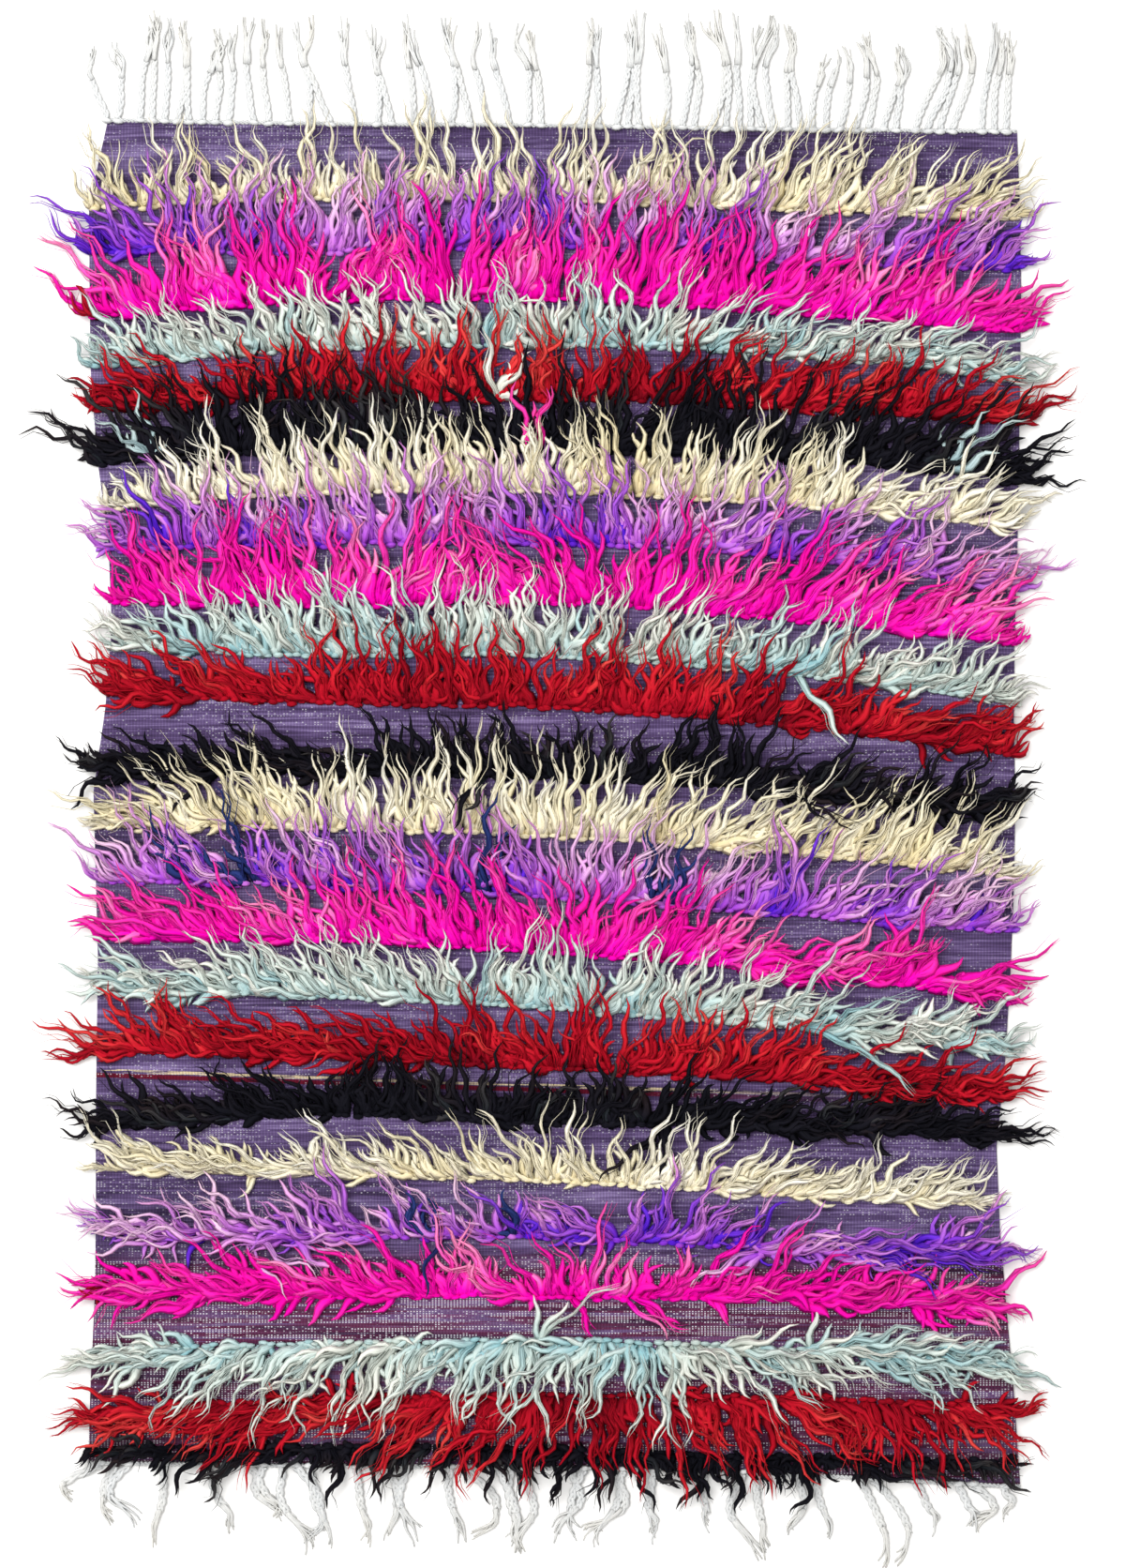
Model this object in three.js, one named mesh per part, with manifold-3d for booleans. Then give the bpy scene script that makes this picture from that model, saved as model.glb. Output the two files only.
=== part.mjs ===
// A tulu rug lying flat: a hand-woven ground, rows of long knotted locks, and plaited cotton fringes.
// Millimetres, +Z up, the rug's top end towards +Y. The origin is the middle of the ground's underside.

import * as THREE from "three";
import { mergeVertices } from "three/addons/utils/BufferGeometryUtils.js";
import Module from "manifold-3d";

const wasm = await Module();
wasm.setup();

// Driving sizes of the cloth
const GROUND_THICK = 3; // the woven ground
const PIECE_GAP = 0.3; // between neighbouring pieces
const HALF_WIDTH = 487; // from the middle to the outermost of the five places across

// Driving sizes of a row's slab of pile
const SLAB_STATIONS = 22; // sections along a row
const SLAB_SHARE = 0.6; // how much of a lock's length lies in the slab
const SLAB_LEAN = 0.5; // the matted pile leans this much as far as its locks
const KNOT_TOP = 8; // height of the knots along the row's root line
const RIDGE_LOW = 12; // lowest and highest that the pile swells behind the knots
const RIDGE_HIGH = 20;
const RIDGE_AT = 0.4; // how far from the knots to the rim the swell is
const RIM_TOP = 7; // height of the slab's rim
const RIM_SHORT = 0.6; // shortest of every second tuft of the rim, to a long one's 1
const ROW_CLEAR = 5; // bare strip left before the next row's knots
const END_INSET = 6; // a row's last knots stand this far inside the selvedge
const END_OVERHANG = 4; // the slab may pass the selvedge by this much
const STEEPEST = 0.2; // smallest cosine of a lean that is used to measure a gap

// Driving sizes of the loose locks at a row's rim
const RIM_LOCKS = 4;
const RIM_LOCK_MARGIN = 60; // no rim lock starts nearer a selvedge than this
const RIM_LOCK_STAGGER = 0.2; // sideways shift from one row to the next, in spaces between locks
const END_LOCKS = [1, 0.65]; // at each end of a row, a long one and a shorter one beside it
const END_LOCK_ROOT = 20; // an end lock starts this far inside the selvedge
const END_LOCK_PITCH = 10;
const END_LOCK_RISE = 18; // most that an end lock climbs along the selvedge
const LOCK_WIDTH = 11;
const LOCK_TIP_WIDTH = 2.5;
const LOCK_THICK = 5.5;
const LOCK_TIP_THICK = 2;
const LOCK_WAVE = 5; // sideways swing of a lock
const LOCK_ROOT_LIFT = 6; // underside of a lock where it leaves the slab
const LOCK_LOW_LIFT = 9; // underside of a lock over bare ground
const LOCK_OVER_LIFT = 21.6; // underside of a lock that lies over the next row
const LOCK_STEP = 8; // the climb onto the next row starts and ends this far from its knots
const EDGE_CLEAR = 5; // an end lock is this far past the selvedge before it comes down
const EDGE_LIFT = 0.9; // an end lock crosses the selvedge this far above the ground

// Driving sizes of a fringe
const STRIP_WIDTH = 6; // white edge that holds the plaits
const STRIP_HEIGHT = 5;
const EDGE_STEPS = 12; // straight stretches that follow an end edge
const PLAIT_ROOT = 3; // how far a plait starts inside its strip

// Sections of a plait from its root to its frayed end, which spreads and flattens
const PLAIT_SECTIONS = [
  { share: 0, bow: 0, width: 7, thick: 6.5 },
  { share: 0.4, bow: 2, width: 7, thick: 6.5 },
  { share: 0.75, bow: -2, width: 7, thick: 6.5 },
  { share: 1, bow: 0, width: 9, thick: 2.5 },
];

// Where the two selvedges lie, from the top end down
const SELVEDGES = [
  { y: 722, left: -477, right: 492 },
  { y: 638, left: -497, right: 496 },
  { y: 512, left: -496, right: 497 },
  { y: 402, left: -494, right: 495 },
  { y: 292, left: -477, right: 494 },
  { y: 172, left: -472, right: 490 },
  { y: 92, left: -480, right: 489 },
  { y: 2, left: -493, right: 491 },
  { y: -148, left: -487, right: 488 },
  { y: -278, left: -489, right: 480 },
  { y: -388, left: -490, right: 469 },
  { y: -493, left: -489, right: 477 },
  { y: -618, left: -495, right: 488 },
  { y: -718, left: -498, right: 496 },
];

// The end edges of the ground, each a y at the five places across
const TOP_EDGE = [722, 718, 716, 712, 710];
const BOTTOM_EDGE = [-706, -709, -711, -718, -731];

// The dyes of the rows, over and over from the top end down
const DYES = ["cream", "purple", "pink", "blue", "red", "black"];

// Rows of knots from the top end down. root is the knot line's y at the five places across, and lean the way
// the locks lie there, in degrees clockwise from +Y. length is a long lock's. past is how far the end locks
// reach over the left and right selvedges.
const ROWS = [
  { root: [630, 639, 638, 628, 619], lean: [-55, -8, 2, 28, 55], length: 95, past: [22, 20] },
  { root: [584, 582, 588, 573, 565], lean: [-50, -6, 3, 25, 52], length: 85, past: [50, 36] },
  { root: [513, 530, 531, 518, 498], lean: [-45, -10, 2, 25, 50], length: 95, past: [62, 55] },
  { root: [460, 480, 483, 474, 451], lean: [-55, -22, 0, 45, 68], length: 82, past: [38, 42] },
  { root: [415, 426, 425, 416, 401], lean: [-60, -18, 5, 28, 60], length: 85, past: [28, 80] },
  { root: [360, 371, 370, 362, 345], lean: [-65, -12, 5, 25, 75], length: 95, past: [85, 85] },
  { root: [309, 325, 327, 313, 291], lean: [-55, -12, 0, 25, 60], length: 88, past: [8, 44] },
  { root: [265, 271, 272, 259, 225], lean: [-55, -12, 0, 25, 65], length: 85, past: [42, 66] },
  { root: [209, 206, 209, 192, 167], lean: [-50, -12, 0, 28, 65], length: 95, past: [18, 34] },
  { root: [162, 153, 152, 134, 104], lean: [-48, -16, 0, 42, 65], length: 90, past: [16, 38] },
  { root: [112, 103, 97, 79, 49], lean: [-62, -16, 8, 18, 60], length: 88, past: [45, 60] },
  { root: [33, 29, 22, 10, -14], lean: [-70, -40, 10, 58, 70], length: 85, past: [72, 60] },
  { root: [-28, -32, -40, -57, -82], lean: [-60, -12, 8, 30, 45], length: 100, past: [4, 12] },
  { root: [-86, -94, -104, -123, -141], lean: [-55, -15, 2, 20, 45], length: 92, past: [30, 34] },
  { root: [-147, -151, -164, -182, -214], lean: [-62, -12, 3, 32, 65], length: 95, past: [16, 30] },
  { root: [-199, -210, -223, -243, -270], lean: [-66, -30, 5, 32, 60], length: 90, past: [25, 38] },
  { root: [-269, -273, -288, -299, -318], lean: [-72, -25, 10, 58, 75], length: 90, past: [80, 66] },
  { root: [-348, -336, -346, -349, -358], lean: [-80, -25, 0, 45, 85], length: 68, past: [66, 80] },
  { root: [-392, -400, -407, -421, -432], lean: [-75, -48, 20, 62, 76], length: 78, past: [8, 22] },
  { root: [-460, -468, -466, -480, -481], lean: [-84, -50, 10, 62, 85], length: 80, past: [40, 62] },
  { root: [-523, -528, -531, -533, -543], lean: [-88, -50, 0, 60, 88], length: 80, past: [48, 25] },
  { root: [-585, -580, -576, -585, -593], lean: [255, 215, 180, 135, 108], length: 95, past: [44, 34] },
  { root: [-653, -638, -635, -638, -648], lean: [262, 220, 180, 150, 104], length: 95, past: [62, 70] },
  { root: [-693, -689, -693, -701, -705], lean: [250, 205, 180, 165, 112], length: 58, past: [16, 12] },
];

// Clusters of plaits along each end edge. x is the middle of a cluster's roots, pitch and tipPitch are the
// spacing of its roots and of its tips, and shift is how far the tips lie to the right of the roots.
const TOP_PLAITS = [
  { x: -472, count: 2, pitch: 12, tipPitch: 34, shift: -12, length: 76 },
  { x: -429, count: 3, pitch: 13, tipPitch: 13, shift: 4, length: 112 },
  { x: -396, count: 2, pitch: 12, tipPitch: 13, shift: 5, length: 104 },
  { x: -362, count: 3, pitch: 14, tipPitch: 11, shift: 4, length: 95 },
  { x: -313, count: 2, pitch: 16, tipPitch: 14, shift: -5, length: 108 },
  { x: -283, count: 1, pitch: 0, tipPitch: 0, shift: -6, length: 103 },
  { x: -250, count: 2, pitch: 22, tipPitch: 26, shift: -14, length: 106 },
  { x: -214, count: 1, pitch: 0, tipPitch: 0, shift: -14, length: 115 },
  { x: -182, count: 2, pitch: 15, tipPitch: 13, shift: -14, length: 98 },
  { x: -141, count: 2, pitch: 19, tipPitch: 15, shift: -14, length: 108 },
  { x: -101, count: 2, pitch: 20, tipPitch: 14, shift: -14, length: 112 },
  { x: -60, count: 2, pitch: 22, tipPitch: 22, shift: -14, length: 105 },
  { x: -22, count: 2, pitch: 14, tipPitch: 16, shift: -8, length: 105 },
  { x: 38, count: 2, pitch: 17, tipPitch: 18, shift: 3, length: 112 },
  { x: 78, count: 3, pitch: 12, tipPitch: 11, shift: 10, length: 115 },
  { x: 118, count: 1, pitch: 0, tipPitch: 0, shift: -6, length: 105 },
  { x: 142, count: 2, pitch: 13, tipPitch: 14, shift: 2, length: 115 },
  { x: 182, count: 3, pitch: 14, tipPitch: 13, shift: -2, length: 118 },
  { x: 221, count: 3, pitch: 12, tipPitch: 11, shift: 2, length: 118 },
  { x: 255, count: 2, pitch: 14, tipPitch: 11, shift: -6, length: 108 },
  { x: 289, count: 3, pitch: 14, tipPitch: 11, shift: 8, length: 85 },
  { x: 327, count: 2, pitch: 14, tipPitch: 12, shift: 4, length: 98 },
  { x: 357, count: 2, pitch: 14, tipPitch: 12, shift: 14, length: 88 },
  { x: 404, count: 4, pitch: 13, tipPitch: 11, shift: 22, length: 108 },
  { x: 468, count: 3, pitch: 13, tipPitch: 12, shift: 8, length: 108 },
];
const BOTTOM_PLAITS = [
  { x: -484, count: 1, pitch: 0, tipPitch: 0, shift: -28, length: 34 },
  { x: -462, count: 2, pitch: 14, tipPitch: 22, shift: -6, length: 58 },
  { x: -416, count: 1, pitch: 0, tipPitch: 0, shift: -4, length: 84 },
  { x: -370, count: 1, pitch: 0, tipPitch: 0, shift: 18, length: 78 },
  { x: -318, count: 2, pitch: 15, tipPitch: 13, shift: 8, length: 56 },
  { x: -276, count: 3, pitch: 14, tipPitch: 12, shift: 8, length: 84 },
  { x: -212, count: 1, pitch: 0, tipPitch: 0, shift: 4, length: 84 },
  { x: -166, count: 2, pitch: 15, tipPitch: 12, shift: 4, length: 80 },
  { x: -104, count: 2, pitch: 14, tipPitch: 18, shift: 14, length: 80 },
  { x: -46, count: 3, pitch: 14, tipPitch: 13, shift: 12, length: 92 },
  { x: 24, count: 2, pitch: 14, tipPitch: 12, shift: -4, length: 70 },
  { x: 66, count: 2, pitch: 14, tipPitch: 13, shift: -2, length: 74 },
  { x: 106, count: 1, pitch: 0, tipPitch: 0, shift: 2, length: 74 },
  { x: 160, count: 1, pitch: 0, tipPitch: 0, shift: 8, length: 58 },
  { x: 208, count: 2, pitch: 13, tipPitch: 16, shift: 12, length: 92 },
  { x: 268, count: 2, pitch: 15, tipPitch: 14, shift: 8, length: 62 },
  { x: 332, count: 2, pitch: 13, tipPitch: 13, shift: 14, length: 88 },
  { x: 384, count: 1, pitch: 0, tipPitch: 0, shift: 8, length: 54 },
  { x: 438, count: 2, pitch: 16, tipPitch: 16, shift: 12, length: 44 },
  { x: 480, count: 1, pitch: 0, tipPitch: 0, shift: 20, length: 30 },
];

const COLOURS = {
  ground: 0x5d4a7c,
  cream: 0xe6d9ae,
  purple: 0x7a3fb0,
  pink: 0xf5109f,
  blue: 0xbcd0cd,
  red: 0xb31a20,
  black: 0x22222c,
  cotton: 0xe9e8e3,
};
const WOOL_ROUGHNESS = 0.85;

function wool(colour) {
  return new THREE.MeshStandardMaterial({ color: COLOURS[colour], roughness: WOOL_ROUGHNESS, metalness: 0 });
}

// A smooth line through values given at evenly spaced places across the rug
function across(values) {
  const step = (2 * HALF_WIDTH) / (values.length - 1);
  const line = new THREE.CubicInterpolant(
    values.map((_, i) => i * step - HALF_WIDTH),
    values,
    1,
  );
  return (x) => line.evaluate(x)[0];
}

// Where a selvedge lies at y; side is "left" or "right"
function selvedge(side) {
  const upwards = [...SELVEDGES].reverse();
  const line = new THREE.LinearInterpolant(
    upwards.map((place) => place.y),
    upwards.map((place) => place[side]),
    1,
  );
  return (y) => line.evaluate(y)[0];
}

const leftEdge = selvedge("left");
const rightEdge = selvedge("right");
const topEdge = across(TOP_EDGE);
const bottomEdge = across(BOTTOM_EDGE);

// A repeatable number from 0 to 1 for one place of one row
const uneven = (row, place) => THREE.MathUtils.seededRandom(row * SLAB_STATIONS * 2 + place + 1);

// One closed solid through rings that have the same number of points
function loft(rings) {
  const sides = rings[0].length;
  const points = rings.flat();
  const triangles = [];
  for (let ring = 0; ring + 1 < rings.length; ring++) {
    for (let side = 0; side < sides; side++) {
      const a = ring * sides + side;
      const b = ring * sides + ((side + 1) % sides);
      triangles.push([a, b, b + sides], [a, b + sides, a + sides]);
    }
  }
  const last = (rings.length - 1) * sides;
  for (let side = 1; side + 1 < sides; side++) {
    triangles.push([0, side + 1, side], [last, last + side, last + side + 1]);
  }
  const volume = triangles.reduce((sum, [a, b, c]) => sum + tetrahedron(points[a], points[b], points[c]), 0);
  const inward = volume < 0;
  const geometry = new THREE.BufferGeometry().setFromPoints(points);
  geometry.setIndex(triangles.flatMap(([a, b, c]) => (inward ? [a, c, b] : [a, b, c])));
  return geometry;
}

// Six times the signed volume between a triangle and the origin
function tetrahedron(a, b, c) {
  return new THREE.Vector3().crossVectors(a, b).dot(c);
}

function toSolid(geometry) {
  const merged = mergeVertices(geometry);
  return new wasm.Manifold(
    new wasm.Mesh({
      numProp: 3,
      vertProperties: merged.attributes.position.array,
      triVerts: new Uint32Array(merged.index.array),
    }),
  );
}

// Several overlapping pieces of yarn fused into one geometry
function fuse(geometries) {
  const mesh = geometries
    .map(toSolid)
    .reduce((whole, piece) => whole.add(piece))
    .getMesh();
  const geometry = new THREE.BufferGeometry();
  geometry.setAttribute("position", new THREE.BufferAttribute(mesh.vertProperties, 3));
  geometry.setIndex(new THREE.BufferAttribute(mesh.triVerts, 1));
  geometry.computeVertexNormals();
  return geometry;
}

// A tapered strand through places {x, y, z, width, thick}: z is its underside, which stays level across.
// A ridged one has three sides, and otherwise it has four.
function strand(places, ridged) {
  const rings = places.map((place, i) => {
    const before = places[Math.max(i - 1, 0)];
    const after = places[Math.min(i + 1, places.length - 1)];
    const along = new THREE.Vector2(after.x - before.x, after.y - before.y).normalize();
    const corner = (side, top) =>
      new THREE.Vector3(
        place.x - (along.y * side * place.width) / 2,
        place.y + (along.x * side * place.width) / 2,
        place.z + top * place.thick,
      );
    return ridged
      ? [corner(1, 0), corner(-1, 0), corner(0, 1)]
      : [corner(1, 0), corner(-1, 0), corner(-1, 1), corner(1, 1)];
  });
  return loft(rings);
}

// Points along an end edge of the ground, from its left corner to its right one
function alongEdge(edge, corners) {
  return Array.from({ length: EDGE_STEPS + 1 }, (_, step) => {
    const x = THREE.MathUtils.lerp(corners.left, corners.right, step / EDGE_STEPS);
    return new THREE.Vector2(x, edge(x));
  });
}

// The woven ground
function groundCloth() {
  const sides = SELVEDGES.slice(1, -1);
  const left = sides.map((place) => new THREE.Vector2(place.left, place.y));
  const right = sides.map((place) => new THREE.Vector2(place.right, place.y)).reverse();
  const bottom = alongEdge(bottomEdge, SELVEDGES.at(-1));
  const top = alongEdge(topEdge, SELVEDGES.at(0)).reverse();
  const outline = new THREE.Shape([...left, ...bottom, ...right, ...top]);
  return new THREE.ExtrudeGeometry(outline, { depth: GROUND_THICK, bevelEnabled: false });
}

// One row of knotted locks, with the lines it needs worked out from the table
function pileRow(index) {
  const row = ROWS[index];
  const root = across(row.root);
  const lean = across(row.lean);
  const downwards = Math.cos(THREE.MathUtils.degToRad(lean(0))) < 0;
  const straight = downwards ? 180 : 0;
  const neighbour = ROWS[index + (downwards ? 1 : -1)];
  const endEdge = downwards ? bottomEdge : topEdge;
  const beyond = neighbour ? across(neighbour.root) : endEdge;
  const middle = root(0);
  return {
    ...row,
    index,
    root,
    up: downwards ? -1 : 1,
    left: leftEdge(middle),
    right: rightEdge(middle),
    // Unit direction of the locks at x, or of pile that leans only a share as far
    direction(x, share = 1) {
      const angle = THREE.MathUtils.degToRad(THREE.MathUtils.lerp(straight, lean(x), share));
      return new THREE.Vector2(Math.sin(angle), Math.cos(angle));
    },
    // From the knots at x straight to the next row's knots
    gap(x) {
      return Math.abs(beyond(x) - root(x));
    },
    // How far pile that is rooted at x and lies along way can run before it meets the next row's knots
    room(x, way) {
      const reach = x + way.x * this.length * SLAB_SHARE;
      const rise = Math.abs(beyond(reach) - root(x));
      return rise / Math.max(Math.abs(way.y), STEEPEST);
    },
  };
}

// The lumpy slab of a row: sections from the knots to an uneven rim, side by side along the root line
function pileSlab(row) {
  const floor = GROUND_THICK + PIECE_GAP;
  const start = row.left + END_INSET;
  const width = row.right - row.left - 2 * END_INSET;
  const sections = [];
  for (let station = 0; station < SLAB_STATIONS; station++) {
    const x = start + (width * station) / (SLAB_STATIONS - 1);
    const way = row.direction(x, SLAB_LEAN);
    const toEdge = (way.x < 0 ? x - row.left : row.right - x) + END_OVERHANG;
    const tuft = station % 2 ? 1 : THREE.MathUtils.lerp(RIM_SHORT, 1, uneven(row.index, station));
    const depth = Math.min(
      row.length * SLAB_SHARE * tuft,
      row.room(x, way) - ROW_CLEAR,
      toEdge / Math.max(Math.abs(way.x), STEEPEST),
    );
    const ridge = THREE.MathUtils.lerp(RIDGE_LOW, RIDGE_HIGH, uneven(row.index, station + SLAB_STATIONS));
    const at = (share, z) =>
      new THREE.Vector3(x + way.x * depth * share, row.root(x) + way.y * depth * share, z);
    sections.push([at(0, floor), at(0, KNOT_TOP), at(RIDGE_AT, ridge), at(1, RIM_TOP), at(1, floor)]);
  }
  return loft(sections);
}

// A lock through places {x, y, z}, tapering evenly from its root to its tip
function lock(places) {
  const tapered = places.map((place, i) => {
    const taper = i / (places.length - 1);
    return {
      ...place,
      width: THREE.MathUtils.lerp(LOCK_WIDTH, LOCK_TIP_WIDTH, taper),
      thick: THREE.MathUtils.lerp(LOCK_THICK, LOCK_TIP_THICK, taper),
    };
  });
  return strand(tapered, true);
}

// A lock that leaves the slab's rim and lies over the next row, or on the ground if it doesn't reach that row
function rimLock(row, place) {
  const stagger = row.index % 2 ? RIM_LOCK_STAGGER : -RIM_LOCK_STAGGER;
  const share = (place + 0.5 + stagger) / RIM_LOCKS;
  const x = THREE.MathUtils.lerp(row.left + RIM_LOCK_MARGIN, row.right - RIM_LOCK_MARGIN, share);
  const way = row.direction(x);
  const room = row.room(x, way);
  const swing = LOCK_WAVE * (uneven(row.index, place) < 0.5 ? -1 : 1);
  const at = (far, z, side) => ({
    x: x + way.x * far + way.y * side,
    y: row.root(x) + way.y * far - way.x * side,
    z,
  });
  const leaves = Math.min(row.length * SLAB_SHARE, room) / 2;
  const root = at(leaves, LOCK_ROOT_LIFT, 0);
  if (room + LOCK_STEP * 2 > row.length) {
    const tip = Math.min(row.length, room - LOCK_STEP);
    return lock([root, at((leaves + tip) / 2, LOCK_LOW_LIFT, swing), at(tip, LOCK_LOW_LIFT, 0)]);
  }
  return lock([
    root,
    at(room - LOCK_STEP, LOCK_LOW_LIFT, swing),
    at(room + LOCK_STEP, LOCK_OVER_LIFT, -swing),
    at(row.length, LOCK_OVER_LIFT, 0),
  ]);
}

// A lock at the end of a row that passes the selvedge and, if it is long enough, comes down to the floor
function endLock(row, side, place) {
  const out = side === "left" ? -1 : 1;
  const edge = side === "left" ? leftEdge : rightEdge;
  const past = row.past[side === "left" ? 0 : 1] * END_LOCKS[place];
  const way = row.direction(row[side]);
  const slope = Math.abs(way.y) / Math.max(Math.abs(way.x), STEEPEST);
  const quarter = row.gap(row[side]) / 4;
  const climb = row.up * Math.min(past * slope, END_LOCK_RISE, quarter * 2);
  const y = row.root(row[side]) + row.up * Math.min(END_LOCK_PITCH, quarter) * (place + 0.5);
  const at = (far, z) => ({
    x: edge(y) + out * far,
    y: y + (climb * Math.max(far, 0)) / past,
    z,
  });
  const lifted = GROUND_THICK + EDGE_LIFT;
  const root = at(-END_LOCK_ROOT, lifted);
  if (past < 3 * EDGE_CLEAR) {
    return lock([root, at(0, lifted), at(past, lifted)]);
  }
  return lock([root, at(EDGE_CLEAR, lifted), at((EDGE_CLEAR + past) / 2, 0), at(past, 0)]);
}

function pileGeometry(row) {
  const locks = [];
  for (let place = 0; place < RIM_LOCKS; place++) {
    locks.push(rimLock(row, place));
  }
  for (const side of ["left", "right"]) {
    END_LOCKS.forEach((_, place) => locks.push(endLock(row, side, place)));
  }
  return fuse([pileSlab(row), ...locks]);
}

// A knotted white edge with its plaits; up is 1 at the top end and -1 at the bottom end
function fringe(edge, clusters, corners, up) {
  const strip = alongEdge(edge, corners).map(({ x, y }) => ({
    x,
    y: y + up * (PIECE_GAP + STRIP_WIDTH / 2),
    z: 0,
    width: STRIP_WIDTH,
    thick: STRIP_HEIGHT,
  }));
  const plaits = clusters.flatMap((cluster) =>
    Array.from({ length: cluster.count }, (_, i) => plait(edge, cluster, i - (cluster.count - 1) / 2, up)),
  );
  return fuse([strand(strip, false), ...plaits]);
}

// One plait lying on the floor; offset is its place in the cluster
function plait(edge, cluster, offset, up) {
  const rootX = cluster.x + offset * cluster.pitch;
  const tipX = cluster.x + cluster.shift + offset * cluster.tipPitch;
  const rootY = edge(rootX) + up * (PIECE_GAP + PLAIT_ROOT);
  const places = PLAIT_SECTIONS.map(({ share, bow, width, thick }) => ({
    x: THREE.MathUtils.lerp(rootX, tipX, share) + bow,
    y: rootY + up * cluster.length * share,
    z: 0,
    width,
    thick,
  }));
  return strand(places, false);
}

// The rug
const rug = new THREE.Group();

function addPiece(name, geometry, colour) {
  const mesh = new THREE.Mesh(geometry, wool(colour));
  mesh.name = name;
  rug.add(mesh);
}

addPiece("ground", groundCloth(), "ground");
ROWS.forEach((_, index) => {
  const dye = DYES[index % DYES.length];
  const name = `row_${String(index + 1).padStart(2, "0")}_${dye}`;
  addPiece(name, pileGeometry(pileRow(index)), dye);
});
addPiece("fringe_top", fringe(topEdge, TOP_PLAITS, SELVEDGES.at(0), 1), "cotton");
addPiece("fringe_bottom", fringe(bottomEdge, BOTTOM_PLAITS, SELVEDGES.at(-1), -1), "cotton");

export default rug;
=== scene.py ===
"""A tulu rug on a pale floor: a woven purple ground, rows of long wool locks, and plaited cotton fringes.

Tables and sizes of the rug are in millimetres and are turned into metres where a mesh is made."""

import math

import bpy
import numpy as np
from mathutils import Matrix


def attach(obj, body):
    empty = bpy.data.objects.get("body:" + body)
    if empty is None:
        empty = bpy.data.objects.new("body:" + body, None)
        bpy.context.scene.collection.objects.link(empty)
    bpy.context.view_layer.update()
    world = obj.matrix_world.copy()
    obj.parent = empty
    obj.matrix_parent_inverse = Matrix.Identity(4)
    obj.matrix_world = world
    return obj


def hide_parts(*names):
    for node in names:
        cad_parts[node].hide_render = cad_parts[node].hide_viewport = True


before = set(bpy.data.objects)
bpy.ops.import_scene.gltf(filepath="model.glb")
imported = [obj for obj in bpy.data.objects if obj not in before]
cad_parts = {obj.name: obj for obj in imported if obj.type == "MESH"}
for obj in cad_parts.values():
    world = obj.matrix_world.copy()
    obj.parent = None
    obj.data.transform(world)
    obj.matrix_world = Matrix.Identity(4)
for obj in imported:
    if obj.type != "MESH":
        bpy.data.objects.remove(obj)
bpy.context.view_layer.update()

MM = 0.001

# The photo's frame, and how the rug lies in it
PHOTO_WIDTH, PHOTO_HEIGHT = 1200, 1672  # pixels
PIXEL = 1.0  # millimetres that one pixel spans on the rug
PHOTO_MIDDLE_X, PHOTO_MIDDLE_Y = 592, 852  # pixel over the rug's origin
CAMERA_HEIGHT = 4600
SENSOR = 36

# The woven ground
HALF_WIDTH = 487  # from the middle to the outermost of the five places across
CLOTH_THICK = 2.6
WARP_PITCH = 3.3
RIB_DEPTH = 0.35
WEAVE_STEPS = 16  # rows of faces from end to end
CLOTH_SEAT = 0.2  # how far the cloth's top lies below its full thickness
CLOTH_THINNING = 0.9  # taken off its thickness, so that the ribs and ripples stay above the floor
RIPPLE_HEIGHTS = (0.25, 0.2)
RIPPLE_LENGTHS = ((61, 97), (150, 43))  # along x and y, of each ripple
WEFT_PITCH = 2.3
SPECK_WIDTH, SPECK_HEIGHT = 0.24, 0.28  # half sizes of a white warp speck, as shares of the two pitches

# Where the ground's colours change
LOWER_END, LOWER_BLEND = -478.0, 25.0  # below this the wefts are darker and looser
LINE_DROP, LINE_LEFT, LINE_SLOPE = 289.0, 489.0, 0.0342  # the cream weft line, which falls to the right
LINE_END, LINE_FADE = 330.0, 260.0
CREAM_LINE, RED_LINE, RED_LINE_GAP = 1.8, 2.4, 5.0  # half widths, and how far below the red one lies

# How far colours are streaked along the threads: the scales of their noise along x, y and z
PICK_STREAK, BAND_STREAK, PATCH_STREAK = (13.0, 380.0, 1.0), (1.2, 46.0, 1.0), (9.0, 16.0, 1.0)
ODD_STREAK, OPEN_STREAK = (3.0, 130.0, 1.0), (7.0, 240.0, 1.0)
WOOL_STREAK, COTTON_STREAK = (3.0, 0.035, 3.7), (1.6, 0.12, 5.1)

# Floor and light, in metres and watts
FLOOR_SIZE = 80
SKY_STRENGTH = 0.93
LAMP_POWER, LAMP_SIZE = 290, 3.4
LAMP_PLACE = (-1.9, 1.7, 4.8)
LAMP_TILT = (-19.5, -21.5, 0)  # degrees

# Locks
KNOTS = 95  # along a row
KNOT_WIDTH, KNOT_HEIGHT = 10.8, 5.4
END_INSET = 6  # the last knots stand this far inside the selvedge
END_ZONE = 46  # knots this near a selvedge send their locks over it
FULL_LOCKS = [0.75, 0.75, 0.75]  # share of the knots whose long lock has kept its length, from side to side
FULL_COVER = [1, 1, 1]  # share of their length that the shorter tufts have kept
BUNDLE_BREAKS = 0.3  # share of the knots that start a new bundle of locks
GATHER = 0.6  # how far the locks of a bundle come together
HAIR_STEPS = 8
HAIR_SPREADS = [5, 10]  # how far the loose hairs of a lock stand off at its tip
STRAY_LIFT = 4  # how much higher a lock lies that is astray
LOCK_SEED = 4100

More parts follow.
